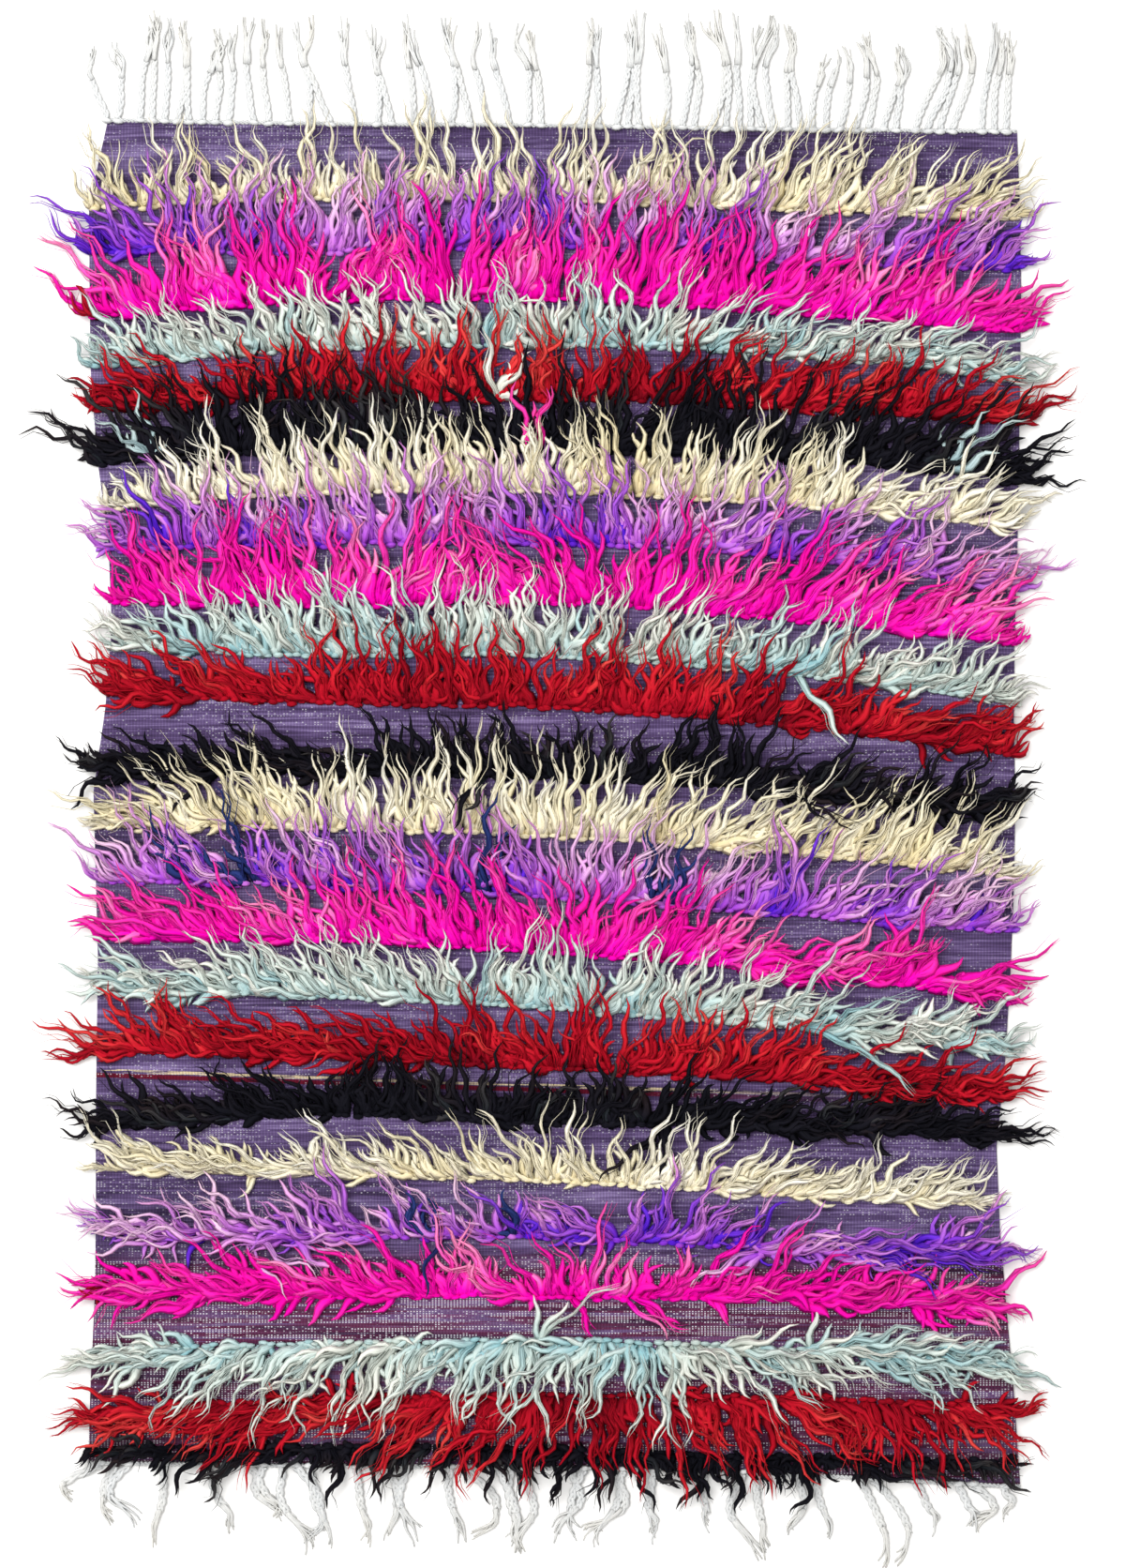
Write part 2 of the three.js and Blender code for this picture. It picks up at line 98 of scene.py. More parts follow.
# How uneven the locks of a row are
KNOT_JITTER = (1.3, 1.2)  # of a knot along and across its row
TINT_DRIFT, TINT_DRIFT_SPACING, TINT_SCATTER = 0.22, 45, 0.16
LEAST_TINT, MOST_TINT = 0.02, 0.9
ODD_TINT = 0.91  # tints above this are locks of another colour
ODD_CLIMB = 5
LEAST_SLANT = 0.5
LEAST_END_REACH, MOST_END_REACH = 0.5, 140  # a share of the row's length, and a length
END_REACHES = (0.5, 1.2)
END_STRAY, END_BROAD = 0.6, 0.75  # shares that the locks over the selvedges keep
CLUMP_TURN, CLUMP_SPACING = 0.6, 38  # turns by which the waves drift apart along a row, and over what length
SWAY_SPACING = 42
SWAY_STRAY, OWN_STRAY = 0.6, 0.75  # shares of the stray that neighbours share, and that is a lock's own
WORN_LENGTH = 0.55  # share of its length that a worn long lock has kept
BEND, BEND_SWAY, BEND_CURVE = 16, 0.8, 1.5
WAVE_START = 5  # the waves reach their full swing at one part in this many of the length
WAVES, WAVELENGTHS = (0.55, 1.2), (0.8, 1.25)
PHASE_SCATTER, PHASE_STEP = 0.6, 0.5  # the lower a tuft, the less it waves along with the others
ROOT_SCATTER, ROOT_LEAD, ROOT_BACK = 2.2, 1.5, 1.0
RIPPLES = (0.4, 2)
BREADTHS, STEP_BREADTHS = (0.65, 1.25), (0.8, 1.2)
FLATNESS, LEAST_THICK = 0.3, 0.5
TOP_HIGHLIGHT_TINT, UNDER_SHADE_STEP, OWN_TINT = 0.12, 0.08, 0.13  # painted light: the top tufts are painted lighter as a highlight, and each tuft further down is painted deeper in colour as shade under the ones above; OWN_TINT is each tuft's own random tone

# The loops of the knots
KNOT_ROUNDING = [0.5, 1, 1, 0.5]  # height along a loop
KNOT_SCATTER, KNOT_TILT = 0.5, 0.5
KNOT_SEAT = 0.2  # above the cloth's thickness
KNOT_HEIGHTS, KNOT_BREADTH = (0.85, 1.15), 1.15
KNOT_TINT, KNOT_ALONG = 0.8, 0.04

# Loose hairs
HAIR_PLACES = (-0.55, 0.55)  # across the lock, as a share of its width
HAIR_RIPPLES, HAIR_PHASES, HAIR_SWINGS = (6, 14), 6, (0.5, 1.8)
HAIR_RIDE, HAIR_CLEAR = 0.3, 0.6
HAIR_WIDTHS, HAIR_TAPER, HAIR_THICK = (1.1, 2.4), 0.6, 0.8

# How the locks rise and come down to the floor
ROOT_HEIGHT, RISE, RIPPLE_RUN = 3, 15, 9
END_DROP_START, DROP, FLOOR_LOCK, LOWEST_LOCK = 25, 28, 1, 0.6

# The tufts of one knot, from the long lock on top down to the curls at its root. reach is a share of the
# row's length. broad, curl and stray are shares of the wool's width and wave and of the row's stray. loft is
# how high a tuft rises at once, and climb how much more it rises to its tip.
TUFTS = [
    {"reach": (0.85, 1.3), "broad": 0.8, "curl": 1.0, "stray": 0.9,
     "loft": 9.0, "climb": (6, 12), "steps": 12},
    {"reach": (0.55, 0.95), "broad": 1.0, "curl": 1.0, "stray": 1.0,
     "loft": 8.0, "climb": (2, 7), "steps": 10},
    {"reach": (0.42, 0.74), "broad": 1.3, "curl": 1.0, "stray": 1.1,
     "loft": 7.0, "climb": (1, 5), "steps": 9},
    {"reach": (0.32, 0.55), "broad": 1.45, "curl": 1.15, "stray": 1.4,
     "loft": 5.5, "climb": (0, 3), "steps": 7},
    {"reach": (0.24, 0.42), "broad": 1.35, "curl": 1.3, "stray": 1.7,
     "loft": 4.0, "climb": (0, 2), "steps": 7},
]

# How wide a tuft is along its length, as a share of its broadest
TUFT_SHARES = [0, 0.08, 0.3, 0.55, 0.75, 0.9, 1]
TUFT_WIDTHS = [0.7, 1.0, 1.0, 0.85, 0.62, 0.36, 0.07]
MOST_STRAY = 38  # degrees
FIRST_CURL = 3  # the tufts from this one down are curls at the root
FINE_CURL = 0.7  # how much finer those curls are in a tangled row

# Fringes
PLIES = 3
PLY_WIDTH = 3.8
BRAID_SWING, BRAID_LIFT = 2.0, 0.9
BRAID_TURN = 27  # length of one whole turn of a plait's plies
BRAID_SHARE = 0.66  # how much of a plait is plaited, before its loose end
BRAID_STEPS = 25
FRAY_STEPS = 8
FRAY_ENDS = 5
FRINGE_SEED = 77
PLAIT_LENGTHS = (0.92, 1.03)
PLAIT_LEAD = 3  # the plaits start this far out from the ground's edge
ROOT_KNOT_BACK = 2
JOIN_CURVE = 1.3  # how late the plaits of a cluster come together
CURL_TURNS, KINK, KINK_TURNS, KINK_PHASES = 5, 1.6, 13, 6
PLAIT_HEIGHT = 1.2
PLY_HEIGHT = 0.9
TAPER_START, TAPER_END = 0.8, 0.5  # a ply narrows over the last of the plait
SOIL, END_SOIL = 0.5, 0.3
FRAY_OVERLAP = 0.1  # the loose ends start this far inside the plait
FRAY_SPREADS, FRAY_SCATTER, FRAY_WAVE, FRAY_TURNS = (0.6, 2.6), 1.2, 1.6, 5
FRAY_LENGTHS, FRAY_WIDTHS = (-12, 8), (2.6, 4.2)
FRAY_HEIGHT, FRAY_DROP, FRAY_LIFT = 0.6, 2.6, 1.2
FRAY_START, FRAY_TAPER, FRAY_THICK = 1.1, 0.7, 0.8
CORD_STEPS, CORD_TURN, CORD_SWING, CORD_WIDTH = 560, 9, 1.3, 3.4
CORD_LEAD, CORD_HEIGHT = 1.6, 1.6
CORD_TINT, CORD_ALONG = 0.2, 0.1

# Where the two selvedges lie, from the top end down
SELVEDGES = [
    {"y": 722, "left": -477, "right": 492},
    {"y": 638, "left": -497, "right": 496},
    {"y": 512, "left": -496, "right": 497},
    {"y": 402, "left": -494, "right": 495},
    {"y": 292, "left": -477, "right": 494},
    {"y": 172, "left": -472, "right": 490},
    {"y": 92, "left": -480, "right": 489},
    {"y": 2, "left": -493, "right": 491},
    {"y": -148, "left": -487, "right": 488},
    {"y": -278, "left": -489, "right": 480},
    {"y": -388, "left": -490, "right": 469},
    {"y": -493, "left": -489, "right": 477},
    {"y": -618, "left": -495, "right": 488},
    {"y": -718, "left": -498, "right": 496},
]

# The end edges of the ground, each a y at the five places across
TOP_EDGE = [722, 718, 716, 712, 710]
BOTTOM_EDGE = [-706, -709, -711, -718, -731]

# The dyes of the rows, over and over from the top end down
DYES = ["cream", "purple", "pink", "blue", "red", "black"]

# Rows of knots from the top end down. root is the knot line's y at the five places across, and lean the way
# the locks lie there, in degrees clockwise from +Y. past is how far the end locks reach over the selvedges,
# stray how unevenly the locks lie, in degrees, and turned the share of locks that lie the other way.
# Some rows have more: full and cover stand in for FULL_LOCKS and FULL_COVER, and tone for the wool's own.
# tangle is the stray of the curls at their roots, and inner the lean at the two sides inside the end locks.
ROWS = [
    {"root": [630, 639, 638, 628, 619], "lean": [-24, -3, 2, 28, 55],
     "length": 95, "past": [22, 20], "stray": 9, "turned": 0,
     "full": [0.4, 0.4, 0.5, 0.9, 0.9], "cover": [0.6, 0.6, 0.65, 1, 1]},
    {"root": [584, 582, 588, 573, 565], "lean": [-50, 0, 3, 25, 52],
     "length": 96, "past": [50, 36], "stray": 12, "turned": 0,
     "tone": [0.48, 0.5, 0.4, 0.5, 0.45]},
    {"root": [513, 530, 531, 518, 498], "lean": [-48, -2, 2, 27, 52],
     "length": 110, "past": [62, 55], "stray": 11, "turned": 0},
    {"root": [460, 480, 483, 474, 451], "lean": [-55, -22, 0, 45, 68],
     "length": 82, "past": [38, 42], "stray": 16, "turned": 0},
    {"root": [415, 426, 425, 416, 401], "lean": [-60, -18, 5, 28, 60],
     "length": 85, "past": [28, 80], "stray": 18, "turned": 0},
    {"root": [360, 371, 370, 362, 345], "lean": [-65, -12, 5, 25, 75],
     "length": 106, "past": [85, 85], "stray": 22, "turned": 0,
     "inner": [-14, 45]},
    {"root": [309, 325, 327, 313, 291], "lean": [-55, -10, 0, 27, 60],
     "length": 92, "past": [8, 44], "stray": 11, "turned": 0,
     "full": [0.1, 0.7, 0.8, 0.8, 0.8], "cover": [0.75, 0.95, 1, 1, 1]},
    {"root": [265, 271, 272, 259, 225], "lean": [-55, -10, 0, 27, 65],
     "length": 94, "past": [42, 66], "stray": 14, "turned": 0,
     "tone": [0.3, 0.42, 0.5, 0.5, 0.45]},
    {"root": [209, 206, 209, 192, 167], "lean": [-50, -10, 0, 32, 66],
     "length": 106, "past": [18, 34], "stray": 12, "turned": 0},
    {"root": [162, 153, 152, 134, 104], "lean": [-56, -26, 0, 52, 68],
     "length": 92, "past": [16, 38], "stray": 16, "turned": 0},
    {"root": [112, 103, 97, 79, 49], "lean": [-64, -30, 2, 34, 64],
     "length": 88, "past": [45, 60], "stray": 18, "turned": 0},
    {"root": [33, 29, 22, 10, -14], "lean": [-76, -62, -5, 62, 72],
     "length": 80, "past": [72, 60], "stray": 24, "turned": 0},
    {"root": [-28, -32, -40, -57, -82], "lean": [-60, -16, 8, 38, 50],
     "length": 100, "past": [4, 12], "stray": 11, "turned": 0},
    {"root": [-86, -94, -104, -123, -141], "lean": [-55, -22, 0, 34, 50],
     "length": 96, "past": [30, 34], "stray": 13, "turned": 0},
    {"root": [-147, -151, -164, -182, -214], "lean": [-62, -32, 0, 52, 72],
     "length": 100, "past": [16, 30], "stray": 13, "turned": 0},
    {"root": [-199, -210, -223, -243, -270], "lean": [-70, -48, 0, 56, 72],
     "length": 92, "past": [25, 38], "stray": 18, "turned": 0},
    {"root": [-269, -273, -288, -299, -318], "lean": [-75, -45, 0, 64, 78],
     "length": 90, "past": [80, 66], "stray": 20, "turned": 0},
    {"root": [-348, -336, -346, -349, -358], "lean": [-80, -40, 8, 40, 85],
     "length": 78, "past": [66, 80], "stray": 24, "turned": 0.03},
    {"root": [-392, -400, -407, -421, -432], "lean": [-76, -58, -25, 60, 78],
     "length": 80, "past": [8, 22], "stray": 15, "turned": 0, "tangle": 40,
     "full": [0.75, 0.6, 0.3, 0.6, 0.7], "cover": [1, 1, 0.75, 1, 1]},
    {"root": [-460, -468, -466, -480, -481], "lean": [-76, -50, -25, 64, 82],
     "length": 90, "past": [40, 62], "stray": 22, "turned": 0.03, "tangle": 42,
     "full": [0.8, 0.8, 0.4, 0.6, 0.8], "cover": [1, 1, 0.7, 0.9, 1],
     "tone": [0.42, 0.5, 0.2, 0.3, 0.42]},
    {"root": [-523, -528, -531, -533, -543], "lean": [-84, -48, -10, 62, 84],
     "length": 88, "past": [48, 25], "stray": 20, "turned": 0, "tangle": 42,
     "full": [0.8, 0.7, 0.4, 0.6, 0.8], "cover": [1, 1, 0.7, 0.9, 1]},
    {"root": [-585, -580, -576, -585, -593], "lean": [258, 230, 190, 118, 104],
     "length": 95, "past": [44, 34], "stray": 26, "turned": 0.05, "tangle": 60},
    {"root": [-653, -638, -635, -638, -648], "lean": [264, 235, 185, 138, 104],
     "length": 95, "past": [62, 70], "stray": 20, "turned": 0, "tangle": 50},
    {"root": [-693, -689, -693, -701, -705], "lean": [250, 205, 180, 165, 112],
     "length": 58, "past": [16, 12], "stray": 28, "turned": 0, "tangle": 70,
     "full": [0.4, 0.4, 0.4], "cover": [0.55, 0.55, 0.55]},
]

# Locks of another colour that were knotted in, by row and place, and where they stand in that dye's colours
ODD_LOCKS = {
    3: [(-486, 1.0)],
    5: [(-57, 1.0)],
    6: [(-432, 0.95), (423, 0.95), (-22, 1.0)],
    14: [(-380, 1.0), (-330, 1.0), (-322, 1.0), (-70, 1.0), (98, 1.0), (128, 1.0)],
    20: [(-152, 1.0), (-118, 1.0), (-46, 1.0)],
    21: [(-478, 1.0)],
}

# Single long locks that lie astray, by row: the place, the way they lie in degrees and their length
STRAY_LOCKS = {
    5: [(-57, -12, 80)],
    6: [(-22, 8, 72), (-432, -48, 80)],
    10: [(256, 139, 96)],
    12: [(-84, 200, 62), (-74, 212, 50)],
    14: [(-70, -3, 118), (-330, -14, 110), (-322, -20, 120)],
    16: [(266, 106, 140)],
    20: [(-118, 196, 70)],
    21: [(212, 30, 108), (222, 36, 98), (20, 150, 46), (70, 128, 62), (80, 122, 70), (95, 140, 48)],
}

# The wool of each dye. wave is how far its locks swing, in degrees. tone is where they stand among its
# colours, from side to side, and roots and tips are those colours, from 0 to 1.
WOOLS = {
    "cream": {
        "wave": 36, "wavelength": 50, "width": 7.6, "tone": [0.45, 0.45],
        "roots": [(0, "#e0d0a2"), (0.5, "#efe5c4"), (1, "#f8f1da")],
        "tips": [(0, "#ebe0bc"), (0.6, "#f6eed6"), (1, "#fdf9ec")],
    },
    "purple": {
        "wave": 40, "wavelength": 50, "width": 7.4, "tone": [0.54, 0.54],
        "roots": [(0, "#4a16c0"), (0.18, "#7c30c6"), (0.5, "#aa4cce"), (0.92, "#c676d2"), (0.96, "#26306a")],
        "tips": [(0, "#7034d4"), (0.22, "#b264d8"), (0.55, "#e298da"), (0.92, "#f8d6ea"), (0.96, "#2a3a72")],
    },
    "pink": {
        "wave": 36, "wavelength": 54, "width": 9.0, "tone": [0.45, 0.45],
        "roots": [(0, "#e00096"), (0.5, "#f400ad"), (0.92, "#fa06c0"), (0.96, "#8e0a22")],
        "tips": [(0, "#f80bab"), (0.5, "#fa29a8"), (0.8, "#fd53ad"), (0.92, "#ff9cc6"), (0.96, "#a81226")],
    },
    "blue": {
        "wave": 40, "wavelength": 46, "width": 8.0, "tone": [0.45, 0.45],
        "roots": [(0, "#88b4ba"), (0.3, "#abc6c5"), (0.65, "#bccbc4"), (1, "#b2b5aa")],
        "tips": [(0, "#bed6d4"), (0.4, "#dee6dd"), (1, "#f8f5ea")],
    },
    "red": {
        "wave": 42, "wavelength": 46, "width": 7.8, "tone": [0.42, 0.42],
        "roots": [(0, "#740416"), (0.5, "#a80a20"), (0.92, "#c41228"), (0.96, "#d8d8cc")],
        "tips": [(0, "#a60a1e"), (0.5, "#c6162a"), (0.75, "#d62c32"), (0.92, "#e24c46"), (0.96, "#f0efe4")],
    },
    "black": {
        "wave": 44, "wavelength": 40, "width": 8.0, "tone": [0.45, 0.45],
        "roots": [(0, "#0b0b12"), (0.9, "#15141d"), (0.93, "#9cb6ba"), (0.97, "#9cb6ba"), (1, "#f412a0")],
        "tips": [(0, "#0f0f17"), (0.6, "#18161d"), (0.9, "#2a2022"), (0.93, "#c4d6d4"), (0.97, "#c4d6d4"),
                 (1, "#ff4aa8")],
    },
}

# Clusters of plaits along each end edge. x is the middle of a cluster's roots, pitch and tip_pitch are the
# spacing of its roots and of its tips, and shift is how far the tips lie to the right of the roots.
TOP_PLAITS = [
    {"x": -472, "count": 2, "pitch": 12, "tip_pitch": 34, "shift": -12, "length": 76},
    {"x": -429, "count": 3, "pitch": 13, "tip_pitch": 9, "shift": 4, "length": 112},
    {"x": -396, "count": 2, "pitch": 12, "tip_pitch": 8, "shift": 5, "length": 104},
    {"x": -362, "count": 3, "pitch": 14, "tip_pitch": 8, "shift": 4, "length": 95},
    {"x": -313, "count": 2, "pitch": 16, "tip_pitch": 9, "shift": -5, "length": 108},
    {"x": -283, "count": 1, "pitch": 0, "tip_pitch": 0, "shift": -6, "length": 103},
    {"x": -250, "count": 2, "pitch": 22, "tip_pitch": 12, "shift": -14, "length": 106},
    {"x": -214, "count": 1, "pitch": 0, "tip_pitch": 0, "shift": -14, "length": 115},
    {"x": -182, "count": 2, "pitch": 15, "tip_pitch": 8, "shift": -14, "length": 98},
    {"x": -141, "count": 2, "pitch": 19, "tip_pitch": 9, "shift": -14, "length": 108},
    {"x": -101, "count": 2, "pitch": 20, "tip_pitch": 9, "shift": -14, "length": 112},
    {"x": -60, "count": 2, "pitch": 22, "tip_pitch": 14, "shift": -14, "length": 105},
    {"x": -22, "count": 2, "pitch": 14, "tip_pitch": 10, "shift": -8, "length": 105},
    {"x": 38, "count": 2, "pitch": 17, "tip_pitch": 11, "shift": 3, "length": 112},
    {"x": 78, "count": 3, "pitch": 12, "tip_pitch": 8, "shift": 10, "length": 115},
    {"x": 118, "count": 1, "pitch": 0, "tip_pitch": 0, "shift": -6, "length": 105},
    {"x": 142, "count": 2, "pitch": 13, "tip_pitch": 9, "shift": 2, "length": 115},
    {"x": 182, "count": 3, "pitch": 14, "tip_pitch": 9, "shift": -2, "length": 118},
    {"x": 221, "count": 3, "pitch": 12, "tip_pitch": 8, "shift": 2, "length": 118},
    {"x": 255, "count": 2, "pitch": 14, "tip_pitch": 8, "shift": -6, "length": 108},
    {"x": 289, "count": 3, "pitch": 14, "tip_pitch": 8, "shift": 8, "length": 85},
    {"x": 327, "count": 2, "pitch": 14, "tip_pitch": 9, "shift": 4, "length": 98},
    {"x": 357, "count": 2, "pitch": 14, "tip_pitch": 9, "shift": 14, "length": 88},
    {"x": 404, "count": 4, "pitch": 13, "tip_pitch": 8, "shift": 22, "length": 108},
    {"x": 468, "count": 3, "pitch": 13, "tip_pitch": 9, "shift": 8, "length": 108},
]
BOTTOM_PLAITS = [
    {"x": -484, "count": 1, "pitch": 0, "tip_pitch": 0, "shift": -28, "length": 34},
    {"x": -462, "count": 2, "pitch": 14, "tip_pitch": 18, "shift": -6, "length": 58},
    {"x": -416, "count": 1, "pitch": 0, "tip_pitch": 0, "shift": -4, "length": 84},
    {"x": -370, "count": 1, "pitch": 0, "tip_pitch": 0, "shift": 18, "length": 78},
    {"x": -318, "count": 2, "pitch": 15, "tip_pitch": 10, "shift": 8, "length": 56},
    {"x": -276, "count": 3, "pitch": 14, "tip_pitch": 9, "shift": 8, "length": 84},
    {"x": -212, "count": 1, "pitch": 0, "tip_pitch": 0, "shift": 4, "length": 84},
    {"x": -166, "count": 2, "pitch": 15, "tip_pitch": 10, "shift": 4, "length": 80},
    {"x": -104, "count": 2, "pitch": 14, "tip_pitch": 14, "shift": 14, "length": 80},
    {"x": -46, "count": 3, "pitch": 14, "tip_pitch": 10, "shift": 12, "length": 92},
    {"x": 24, "count": 2, "pitch": 14, "tip_pitch": 10, "shift": -4, "length": 70},
    {"x": 66, "count": 2, "pitch": 14, "tip_pitch": 10, "shift": -2, "length": 74},
    {"x": 106, "count": 1, "pitch": 0, "tip_pitch": 0, "shift": 2, "length": 74},
    {"x": 160, "count": 1, "pitch": 0, "tip_pitch": 0, "shift": 8, "length": 58},
    {"x": 208, "count": 2, "pitch": 13, "tip_pitch": 12, "shift": 12, "length": 92},
    {"x": 268, "count": 2, "pitch": 15, "tip_pitch": 11, "shift": 8, "length": 62},
    {"x": 332, "count": 2, "pitch": 13, "tip_pitch": 10, "shift": 14, "length": 88},
    {"x": 384, "count": 1, "pitch": 0, "tip_pitch": 0, "shift": 8, "length": 54},
    {"x": 438, "count": 2, "pitch": 16, "tip_pitch": 13, "shift": 12, "length": 44},
    {"x": 480, "count": 1, "pitch": 0, "tip_pitch": 0, "shift": 20, "length": 30},
]

# The fringe of each end. up is 1 at the top end and -1 at the bottom, tangle is how far the plaits stray from
# a straight line, and stout how thick they are.
FRINGES = [
    {"name": "top", "edge": TOP_EDGE, "plaits": TOP_PLAITS, "up": 1, "tangle": 4.5, "stout": 1.0},
    {"name": "bottom", "edge": BOTTOM_EDGE, "plaits": BOTTOM_PLAITS, "up": -1, "tangle": 12, "stout": 1.25},
]

# Sections of yarn as (sideways, up) corners, counter-clockwise from its root end, one unit wide and high
HAIR = np.array([(0.5, 0.0), (0.0, 1.0), (-0.5, 0.0)])
ROUND_YARN = np.array([(0.5, 0.5), (0.0, 1.0), (-0.5, 0.5), (0.0, 0.0)])
KNOT_LOOP = np.array([(0.5, 0.0), (0.32, 0.95), (-0.32, 0.95), (-0.5, 0.0)])


def across(values, x):
    """A smooth line through values given at evenly spaced places across the rug."""
    last = len(values) - 1
    place = np.clip((np.asarray(x, float) + HALF_WIDTH) * last / (2 * HALF_WIDTH), 0, last - 1e-9)
    step = place.astype(int)
    t = place - step
    line = np.array([2 * values[0] - values[1], *values, 2 * values[-1] - values[-2]], float)
    a, b, c, d = (line[step + k] for k in range(4))
    return b + t * ((c - a) / 2 + t * ((2 * a - 5 * b + 4 * c - d) / 2 + t * (3 * b - a - 3 * c + d) / 2))


def selvedge(side, y):
    upwards = SELVEDGES[::-1]
    return np.interp(y, [place["y"] for place in upwards], [place[side] for place in upwards])


def linear(code):
    """A colour code such as #5d4a7c as linear red, green, blue and alpha."""
    parts = [int(code[i:i + 2], 16) / 255 for i in (1, 3, 5)]
    return tuple(c / 12.92 if c <= 0.04045 else ((c + 0.055) / 1.055) ** 2.4 for c in parts) + (1.0,)


class Yarns:
    """Gathers many tubes of yarn, each a row of sections along a path, and makes one mesh of them."""

    def __init__(self):
        self.batches = []

    def add(self, path, side, width, thick, section, tint, along):
        """path and side are (tubes, steps, 3), the rest (tubes, steps) or (tubes,) for tint."""
        corner = section[None, None]
        ring = path[:, :, None] + side[:, :, None] * (corner[..., 0] * width[..., None])[..., None]
        ring[..., 2] += corner[..., 1] * thick[..., None]
        self.batches.append((ring, np.broadcast_to(tint[:, None], width.shape), along))

    def tube_count(self):
        return sum(len(ring) for ring, _, _ in self.batches)

    def mesh(self, name):
        points, faces, maps, tints, alongs, fibres = [], [], [], [], [], []
        start, tube = 0, 0
        columns = math.ceil(math.sqrt(self.tube_count() * 5))
        lines = math.ceil(self.tube_count() / columns)
        for ring, tint, along in self.batches:
            tubes, steps, sides, _ = ring.shape
            index = start + np.arange(tubes * steps * sides).reshape(tubes, steps, sides)
            after = np.roll(index, -1, axis=2)
            walls = np.stack([index[:, :-1], index[:, 1:], after[:, 1:], after[:, :-1]], -1)
            faces += walls.reshape(-1, 4).tolist()
            faces += index[:, 0].tolist() + index[:, -1, ::-1].tolist()
            maps.append(self.unwrap(tube, tubes, steps, sides, columns, lines))
            points.append(ring.reshape(-1, 3))
            tints.append(np.repeat(tint.ravel(), sides))
            alongs.append(np.repeat(along.ravel(), sides))
            fibre = np.empty((tubes, steps, sides, 3))
            fibre[..., 0] = np.arange(sides)
            far = np.linalg.norm(np.diff(ring[:, :, 0], axis=1), axis=2).cumsum(axis=1)
            fibre[..., 1] = np.pad(far, ((0, 0), (1, 0)))[..., None]
            fibre[..., 2] = (tube + np.arange(tubes))[:, None, None]
            fibres.append(fibre.reshape(-1, 3))
            start += tubes * steps * sides
            tube += tubes
        mesh = bpy.data.meshes.new(name)
        mesh.from_pydata((np.concatenate(points) * MM).tolist(), [], faces)
        mesh.shade_smooth()
        for label, kind, field, values in (
            ("tint", "FLOAT", "value", np.concatenate(tints)),
            ("along", "FLOAT", "value", np.concatenate(alongs)),
            ("fibre", "FLOAT_VECTOR", "vector", np.concatenate(fibres)),
        ):
            attribute = mesh.attributes.new(label, kind, "POINT")
            attribute.data.foreach_set(field, values.astype(np.float32).ravel())
        flat_map = mesh.uv_layers.new(name="OFBake").uv
        flat_map.foreach_set("vector", np.concatenate(maps).astype(np.float32).ravel())
        return mesh

    @staticmethod
    def unwrap(first, tubes, steps, sides, columns, lines):
        """Each tube flat in its own cell of the map: its walls, then its two ends in the cell's margins."""
        margin, edge = 0.06, 0.02
        step = margin + (1 - 2 * margin) * np.arange(steps) / (steps - 1)
        side = margin + (1 - 2 * margin) * np.arange(sides + 1) / sides
        walls = np.empty((steps - 1, sides, 4, 2))
        walls[..., 0] = np.stack([side[:-1], side[:-1], side[1:], side[1:]], -1)[None]
        walls[..., 1] = np.stack([step[:-1], step[1:], step[1:], step[:-1]], -1)[:, None]
        turn = 2 * math.pi * np.arange(sides) / sides
        end = np.stack([0.5 + 0.3 * np.cos(turn), 0.5 * edge * (1 + np.sin(turn))], -1)
        far_end = end + np.array([0, 1 - edge * 1.5])
        number = first + np.arange(tubes)
        corner = np.stack([number % columns, number // columns], -1)[:, None]
        size = np.array([columns, lines])
        return np.concatenate([
            ((corner + walls.reshape(1, -1, 2)) / size).reshape(-1, 2),
            ((corner + end[None]) / size).reshape(-1, 2),
            ((corner + far_end[None]) / size).reshape(-1, 2),
        ])


def wander(start, heading, length, bend, wave, wavelength, phase, steps):
    """Paths in plan that leave start along heading and bend and wave on the way.

    Gives the points, the sideways direction at each, how far a path has run there, and as a share."""
    share = np.linspace(0, 1, steps)
    far = length[:, None] * share
    swing = np.sin(2 * math.pi * far / wavelength[:, None] + phase[:, None]) * np.minimum(1, share * WAVE_START)
    angle = heading[:, None] + bend[:, None] * share ** BEND_CURVE + wave[:, None] * swing
    between = (angle[:, 1:] + angle[:, :-1]) / 2
    stride = np.diff(far, axis=1)
    path = np.zeros((*far.shape, 3))
    path[:, 0, :2] = start
    path[:, 1:, 0] = start[:, :1] + np.cumsum(np.sin(between) * stride, axis=1)
    path[:, 1:, 1] = start[:, 1:] + np.cumsum(np.cos(between) * stride, axis=1)
    side = np.stack([np.cos(angle), -np.sin(angle), np.zeros_like(angle)], -1)
    return path, side, far, np.broadcast_to(share, far.shape)


def lay_down(path, far, share, loft, climb, ripple, phase):
    """Heights of locks: up from the knots, over the next row, and down to the floor past the selvedges."""
    height = ROOT_HEIGHT + loft[:, None] * (1 - np.exp(-far / RISE)) + climb[:, None] * share
    height += ripple[:, None] * np.sin(far / RIPPLE_RUN + phase[:, None]) * share
    x, y = path[..., 0], path[..., 1]
    outside = np.maximum(np.maximum(selvedge("left", y) - x, x - selvedge("right", y)), 0)
    over_end = np.maximum(y - across(TOP_EDGE, x), across(BOTTOM_EDGE, x) - y)
    outside += np.maximum(over_end - END_DROP_START, 0)
    path[..., 2] = np.maximum(FLOOR_LOCK + (height - FLOOR_LOCK) * np.exp(-outside / DROP), LOWEST_LOCK)


def drift(rng, x, spacing):
    """A slow unevenness along a row, which changes over about the spacing."""
    places = np.arange(x.min() - spacing, x.max() + 2 * spacing, spacing)
    return np.interp(x, places, rng.normal(0, 1, len(places)))


